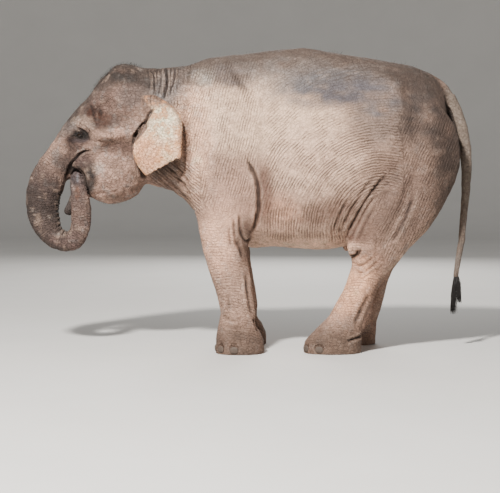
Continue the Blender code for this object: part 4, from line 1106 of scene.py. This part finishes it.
def hide_material():
    """Dry, dusty hide: nets of fine cracks, lines along the skin's lie, and mottled colour."""
    made, shader, place = material("hide", Specular_IOR_Level=0.28)
    warp = place.node("ShaderNodeTexNoise", None, {"Vector": place, "Scale": 9.0, "Detail": 3.0}, 1)
    bent = place.plus(warp.scaled(0.07))
    net = bent.stretched(1.0, 1.0, 1.35).cells(30).step(0.0, 0.12)
    fine_net = bent.stretched(1.35, 1.2, 1.0).cells(78).step(0.0, 0.20)
    across, clear, worn = (place.value(name) for name in ("grain", "lined", "worn"))
    wander = place.noise(5.0, 4.0) * 0.050 + place.noise(26.0, 2.0) * 0.009
    wave = place.math("SINE", (across + wander) * (math.pi / 0.0205))
    lines = place.math("ABSOLUTE", wave) ** 0.6
    patchy = place.noise(9.0, 2.0).step(0.30, 0.60)
    lined = 1 - (1 - lines) * clear * patchy
    grit = place.noise(150.0, 3.0, 0.65)
    lumps = place.noise(48.0, 3.0, 0.6)
    height = net * (0.40 + 0.50 * worn) + fine_net * 0.35 + lined * 1.3
    height = height + grit * 0.35 + lumps * (0.7 + 0.6 * worn)
    cracks = (1 - net) * (0.20 + 0.16 * worn) + (1 - fine_net) * 0.18 + (1 - lined) * 0.85
    colour = place.value("colour", "Color")
    ear = place.value("ear")
    mottle = place.noise(26.0, 6.0, 0.72)
    flecks = place.stretched(1.0, 1.0, 0.45).noise(95.0, 3.0, 0.7)
    contrast = 1 + (mottle - 0.5) * (0.7 + 1.1 * worn) + (flecks - 0.5) * (0.4 + 0.8 * worn)
    greyer = colour.brightness().stretched(1.05, 1.0, 0.96)
    cooled = place.noise(13.0, 4.0, 0.65).step(0.50, 0.66) * 0.45 * worn * (1 - ear)
    cool = colour.toward(greyer, cooled)
    uneven = cool.scaled(place.math("MAXIMUM", contrast, 0.25))
    darker = uneven.toward((0.040, 0.026, 0.020, 1.0), place.math("MINIMUM", cracks, 0.75))
    grime = place.noise(110.0, 2.0).step(0.58, 0.76) * 0.25 * (1 - ear)
    grimy = darker.toward((0.05, 0.036, 0.030, 1.0), grime)
    blotches = place.noise(15.0, 5.0, 0.70).step(0.50, 0.60) * 0.75 * ear
    freckles = place.noise(55.0, 3.0, 0.65).step(0.55, 0.64) * 0.72 * ear
    orange = grimy.toward((0.56, 0.27, 0.13, 1.0), blotches)
    freckled = orange.toward((0.28, 0.13, 0.070, 1.0), freckles)
    feed(shader, Base_Color=freckled, Roughness=0.94 - 0.24 * mottle,
         Normal=height.bumps(0.80, 0.0080))
    return made


def eye_material():
    """A wet, almost black eye: pupil, dark brown iris with fine rays, darker towards the lids."""
    made, shader, place = material("wet_eye", Roughness=0.10, Coat_Weight=0.35, Coat_Roughness=0.04,
                                   Specular_IOR_Level=0.25)
    turned = place.value("off_axis")
    rays = place.noise(420.0, 4.0, 0.7)
    iris = rays.between((0.010, 0.005, 0.003, 1.0), (0.045, 0.022, 0.010, 1.0))
    rimmed = iris.toward((0.006, 0.004, 0.004, 1.0), (turned + rays * 0.04).step(0.44, 0.56))
    white = rimmed.toward((0.020, 0.013, 0.011, 1.0), turned.step(0.60, 0.85))
    pupil = (turned + rays * 0.02).step(0.24, 0.20)
    feed(shader, Base_Color=white.toward((0.002, 0.002, 0.002, 1.0), pupil))
    return made


def nail_material():
    """Dull horn under dust: growth ridges across it and fine scratches."""
    made, shader, place = material("toenail", Specular_IOR_Level=0.35)
    ridges = place.noise(4.0, 2.0) * 0.03 + place.node("ShaderNodeSeparateXYZ", None, {0: place}, 2)
    bands = place.math("SINE", ridges * (2 * math.pi / 0.0085)) * 0.5 + 0.5
    dust = place.noise(60.0, 5.0, 0.65)
    horn = bands.between((0.074, 0.053, 0.042, 1.0), (0.098, 0.071, 0.056, 1.0))
    dusty = horn.toward((0.064, 0.048, 0.038, 1.0), dust.step(0.42, 0.66) * 0.7)
    feed(shader, Base_Color=dusty, Roughness=0.62 + 0.25 * dust,
         Normal=(bands * 0.6 + dust * 0.8).bumps(0.45, 0.0016))
    return made


def hair_material():
    """Coarse black hair, each strand a little different, with a dull sheen."""
    made, shader, place = material("coarse_hair", Specular_IOR_Level=0.45)
    shade = place.noise(70.0, 2.0)
    feed(shader, Base_Color=shade.between((0.006, 0.006, 0.007, 1.0), (0.026, 0.021, 0.019, 1.0)),
         Roughness=0.38 + 0.2 * shade)
    return made


# ------------------------------------------------------------------ stage
FLOOR_REACH, FLOOR_RISE = 17.0, 9.0  # flat out to here, then curving up to this height
FLOOR_TURN = 8  # degrees that each ring of the curve turns up


def add_floor():
    """A pale round floor that curves up into its own backdrop on all sides."""
    bpy.ops.mesh.primitive_circle_add(vertices=96, radius=FLOOR_REACH, fill_type="NGON")
    floor = bpy.context.object
    floor.name = "floor"
    bpy.ops.object.mode_set(mode="EDIT")
    bpy.ops.mesh.select_all(action="SELECT")
    bpy.ops.mesh.select_mode(type="EDGE")
    bpy.ops.mesh.region_to_loop()
    reach = FLOOR_REACH
    step = FLOOR_RISE * math.radians(FLOOR_TURN)
    for turn in np.radians(np.arange(FLOOR_TURN / 2, 90, FLOOR_TURN)):
        bpy.ops.mesh.extrude_edges_move()
        wider = (reach + step * math.cos(turn)) / reach
        bpy.ops.transform.resize(value=(wider, wider, 1), center_override=(0, 0, 0))
        bpy.ops.transform.translate(value=(0, 0, step * math.sin(turn)))
        reach *= wider
    bpy.ops.object.mode_set(mode="OBJECT")
    floor.data.shade_smooth()
    made, shader, place = material("pale_floor", Specular_IOR_Level=0.2)
    soft = place.noise(1.3, 3.0)
    feed(shader, Base_Color=soft.between((0.56, 0.55, 0.53, 1), (0.61, 0.60, 0.58, 1)),
         Roughness=0.80 + 0.1 * soft)
    floor.data.materials.append(made)


def aimed(name, data, place, aim):
    """A camera or a lamp that stands at a place and looks at its aim."""
    obj = bpy.data.objects.new(name, data)
    bpy.context.scene.collection.objects.link(obj)
    obj.location = place
    obj.rotation_euler = (Vector(aim) - obj.location).to_track_quat("-Z", "Y").to_euler()
    return obj


def add_camera():
    """A dozen metres off her left side, at eye height."""
    data = bpy.data.cameras.new("camera")
    data.lens = data.sensor_width * (AIM - CAMERA).length / VIEW_WIDTH
    bpy.context.scene.camera = aimed("camera", data, CAMERA, AIM)


def light_stage():
    """A warm key lamp from before her left shoulder, two weak ones, and an even pale surround."""
    for name, place, aim, size, power, colour in (
        ("key", (-2.9, -8.8, 8.6), (0, 0, 1.1), 1.1, 4050, (1.0, 0.965, 0.92)),
        ("fill", (6.0, -8.5, 3.0), (0, 0, 1.1), 6.0, 60, (0.95, 0.97, 1.0)),
        ("far_side", (1.0, 9.5, 5.0), (0, 0, 1.2), 5.0, 620, (1.0, 0.98, 0.95)),
    ):
        data = bpy.data.lights.new(name, "AREA")
        data.shape, data.size, data.energy, data.color = "DISK", size, power, colour
        aimed(name, data, place, aim)
    world = bpy.data.worlds.new("studio")
    world.use_nodes = True
    surround = world.node_tree.nodes["Background"]
    surround.inputs["Color"].default_value = (0.84, 0.84, 0.84, 1)
    surround.inputs["Strength"].default_value = 0.23
    bpy.context.scene.world = world


# ------------------------------------------------------------------ eyes, nails and hair
def settled(piece, looks, slot, *nodes):
    """Gives a finished piece its material and its body, and hides the frame's nodes that it stands for."""
    piece.data.materials.clear()
    piece.data.materials.append(looks)
    piece.data.shade_smooth()
    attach(piece, "root")
    if nodes:
        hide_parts(*nodes)


def eyeball(name, clay, looks):
    """A ball with a bulging cornea; each vertex keeps its angle from the line of sight."""
    centre, out, _, _ = clay.eyes[name]
    bpy.ops.object.select_all(action="DESELECT")
    bpy.ops.mesh.primitive_uv_sphere_add(segments=40, ring_count=26, radius=EYE_RADIUS - 0.0008)
    ball = bpy.context.object
    ball.name = f"eye_of_{name}_side"
    co = places(ball)
    angle = np.arccos(np.clip(co[:, 2] / np.linalg.norm(co, axis=1), -1, 1))
    co *= (1 + 0.035 * ease(angle, 0.75, 0.35))[:, None]
    turn = np.array(Vector((0, 0, 1)).rotation_difference(Vector(out)).to_matrix())
    set_places(ball, co @ turn.T + centre)
    add_values(ball, "off_axis", angle)
    settled(ball, looks, "eye", f"eye_{name}")


def toenails(looks):
    """One broad domed nail, flat where it meets the ground, copied to each toe."""
    bpy.ops.object.select_all(action="DESELECT")
    bpy.ops.mesh.primitive_uv_sphere_add(segments=28, ring_count=18, radius=1.0)
    pattern = bpy.context.object
    co = places(pattern)
    depth, width, height = NAIL_SIZE
    co = np.sign(co) * np.abs(co) ** (1.0, 0.82, 0.86)
    co[:, 1] *= 1 - 0.10 * co[:, 2]
    co[:, 0] += 0.05 * np.sin(co[:, 2] * 14) * (np.abs(co[:, 1]) < 0.9)
    set_places(pattern, co * (depth, width, height))
    for node, centre, out in nail_places():
        nail = pattern.copy()
        nail.data = pattern.data.copy()
        nail.name = "toe" + node
        bpy.context.scene.collection.objects.link(nail)
        turn = np.array(Matrix.Rotation(math.atan2(out[1], out[0]), 3, "Z"))
        place = places(nail) @ turn.T + centre - (0, 0, NAIL_DROP)
        place[:, 2] = np.maximum(place[:, 2], NAIL_LOWEST)
        set_places(nail, place)
        settled(nail, looks, "nail", node)
    bpy.data.objects.remove(pattern)


def strand(bm, uv_layer, root, direction, droop, length, radius, uv):
    """One tapered three-sided hair that starts along direction and bends towards droop."""
    rings = []
    point = Vector(root)
    heading = Vector(direction).normalized()
    droop = Vector(droop)
    side = heading.orthogonal().normalized()
    for n in range(STRAND_STEPS):
        share = n / STRAND_STEPS
        around = [side * math.cos(a) + heading.cross(side) * math.sin(a) for a in (0, 2.1, 4.2)]
        rings.append([bm.verts.new(point + v * radius * (1 - 0.75 * share**2)) for v in around])
        point = point + heading * (length / STRAND_STEPS)
        heading = (heading + droop / STRAND_STEPS).normalized()
        side = (side - heading * side.dot(heading)).normalized()
    tip = bm.verts.new(point)
    faces = [bm.faces.new(reversed(rings[0]))]
    for first, second in zip(rings, rings[1:]):
        for k in range(3):
            faces.append(bm.faces.new((first[k], first[k - 2], second[k - 2], second[k])))
    faces += [bm.faces.new((rings[-1][k], rings[-1][k - 2], tip)) for k in range(3)]
    for face in faces:
        for n, loop in enumerate(face.loops):
            loop[uv_layer].uv = (uv[0] + STRAND_PATCH * (n % 2), uv[1] + STRAND_PATCH * (n // 2))


def unwrapped(point):
    """A point's place on the skin unrolled round the body's long axis."""
    (x0, _, _), (x1, _, _) = cad_box
    turn = math.atan2(point[1], point[2] - BODY_AXIS) / (2 * math.pi)
    return (point[0] - x0) / (x1 - x0) * 0.99, (turn + 0.5) * 0.99


def hair_piece(name, looks, strands, *nodes):
    """All the strands as one mesh: root, direction, droop, length and radius of each."""
    bm = bmesh.new()
    uv_layer = bm.loops.layers.uv.new("OFBake")
    for root, direction, droop, length, radius in strands:
        strand(bm, uv_layer, root, direction, droop, length, radius, unwrapped(root))
    settled(new_object(name, bm), looks, "hair", *nodes)


# The tuft's two flat locks: how far forward or back they hang, how low they reach, how wide.
LOCKS = ((-0.018, 0.262, 0.015), (0.026, 0.350, 0.015))


def tail_tuft(looks, chance):
    """Long black hair from both sides of the tail's end, in two flat locks."""
    low, high = np.array(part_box("tail_tuft"))
    middle = (low + high) / 2
    strands = []
    for (aside, lowest, wide), _ in itertools.product(LOCKS, range(TUFT_HAIRS)):
        z = high[2] + 0.045 - 0.075 * chance.random()
        root = np.array((middle[0] - 0.006 + 0.5 * aside * chance.random(), chance.normal(0, 0.007), z))
        end = np.array((middle[0] + aside + chance.normal(0, wide), chance.normal(0, 0.008),
                        lowest + 0.16 * chance.random() ** 2))
        end[0] = min(max(end[0], low[0] + 0.003), high[0] - 0.003)
        reach = np.linalg.norm(end - root)
        bow = np.array((0.08 * np.sign(aside), 0, 0))
        strands.append((root, (end - root) / reach + bow, -2 * bow, reach, chance.uniform(0.0008, 0.0015)))
    hair_piece("tail_hair", looks, strands, "tail_tuft")


def bristles(clay, looks, chance):
    """Sparse stiff hairs: thickest on the crown and brow, fewer down the face, back and chin."""
    co, normal = clay.co, clay.normal
    x, _, z = co.T
    wanted = 9.0 * ease(x, -0.80, -0.90) * ease(z, 2.00, 2.12)
    wanted += 2.2 * ease(x, -1.10, -1.16) * ease(z, 1.80, 1.90) * ease(normal[:, 2], -0.1, 0.3)
    wanted += 0.45 * ease(x, -1.20, -1.30) * ease(normal[:, 0], 0.0, -0.5) * ease(z, 0.9, 1.2)
    wanted += 0.20 * ease(normal[:, 2], 0.6, 0.9) * ease(z, 1.9, 2.1)
    chin = ease(x, -0.85, -0.95) * ease(x, -1.40, -1.30) * ease(normal[:, 2], -0.5, -0.9) * (z > 1.0)
    wanted += 1.2 * chin
    wanted *= 1 - np.minimum(clay.ear * 5, 1)
    strands = []
    for n in chance.choice(len(co), BRISTLES, replace=False, p=wanted / wanted.sum()):
        away = normal[n] + chance.normal(0, 0.25, 3) + (0.15, 0, 0.1)
        length = chance.uniform(0.010, 0.034) * (1.0 if co[n, 2] > 2.0 else 0.7)
        inside = np.array(cad_box[1]) - 0.001 - length * 1.05
        if np.all(np.abs(co[n, :2]) < inside[:2]) and co[n, 2] < inside[2]:
            radius = chance.uniform(0.0004, 0.0007)
            strands.append((co[n] - normal[n] * 0.001, away, (0.2, 0, -0.25), length, radius))
    hair_piece("bristles", looks, strands)


def eyelashes(clay, looks, chance):
    """Long stiff lashes from the upper lid, and a few below."""
    strands = []
    for name, _ in SIDES:
        centre, out, up, back = clay.eyes[name]
        for n in range(LASHES):
            a = chance.uniform(-0.022, 0.023)
            upper = n % 5 > 0
            b = SLANT * a + (0.0115 if upper else -0.0105) * parted(a)
            high = math.sqrt(max((EYE_RADIUS + 0.0035) ** 2 - a * a - b * b, 1e-6))
            root = centre + back * a + up * b + out * high
            way = out + up * (0.15 if upper else -0.5) + back * (a * 14 + chance.normal(0, 0.12))
            length = chance.uniform(0.016, 0.034) * (1 if upper else 0.5)
            strands.append((root, way, -0.9 * up, length, 0.0006))
    hair_piece("eyelashes", looks, strands)


# ------------------------------------------------------------------ the elephant
add_camera()
add_floor()
light_stage()
chance = np.random.default_rng(7)
clay = modelled(*whole_skin())
skin = clay.obj
across, clear, _ = grain(clay.co)
add_values(skin, "colour", painted(clay))
add_values(skin, "grain", across)
add_values(skin, "lined", clear * (1 - 0.5 * trunk_place(clay.co)[0]) + 0.3 * clay.rings)
add_values(skin, "worn", worn_parts(clay.co))
add_values(skin, "ear", clay.front_of_ear)
hair = hair_material()
bristles(clay, hair, chance)
eyelashes(clay, hair, chance)
tail_tuft(hair, chance)
wet = eye_material()
for name, _ in SIDES:
    eyeball(name, clay, wet)
toenails(nail_material())
thinned(skin, clay.co)
keep_in_box(skin)
settled(skin, hide_material(), "skin",
        *[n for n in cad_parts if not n.startswith(("eye", "nail", "tail_tuft"))])
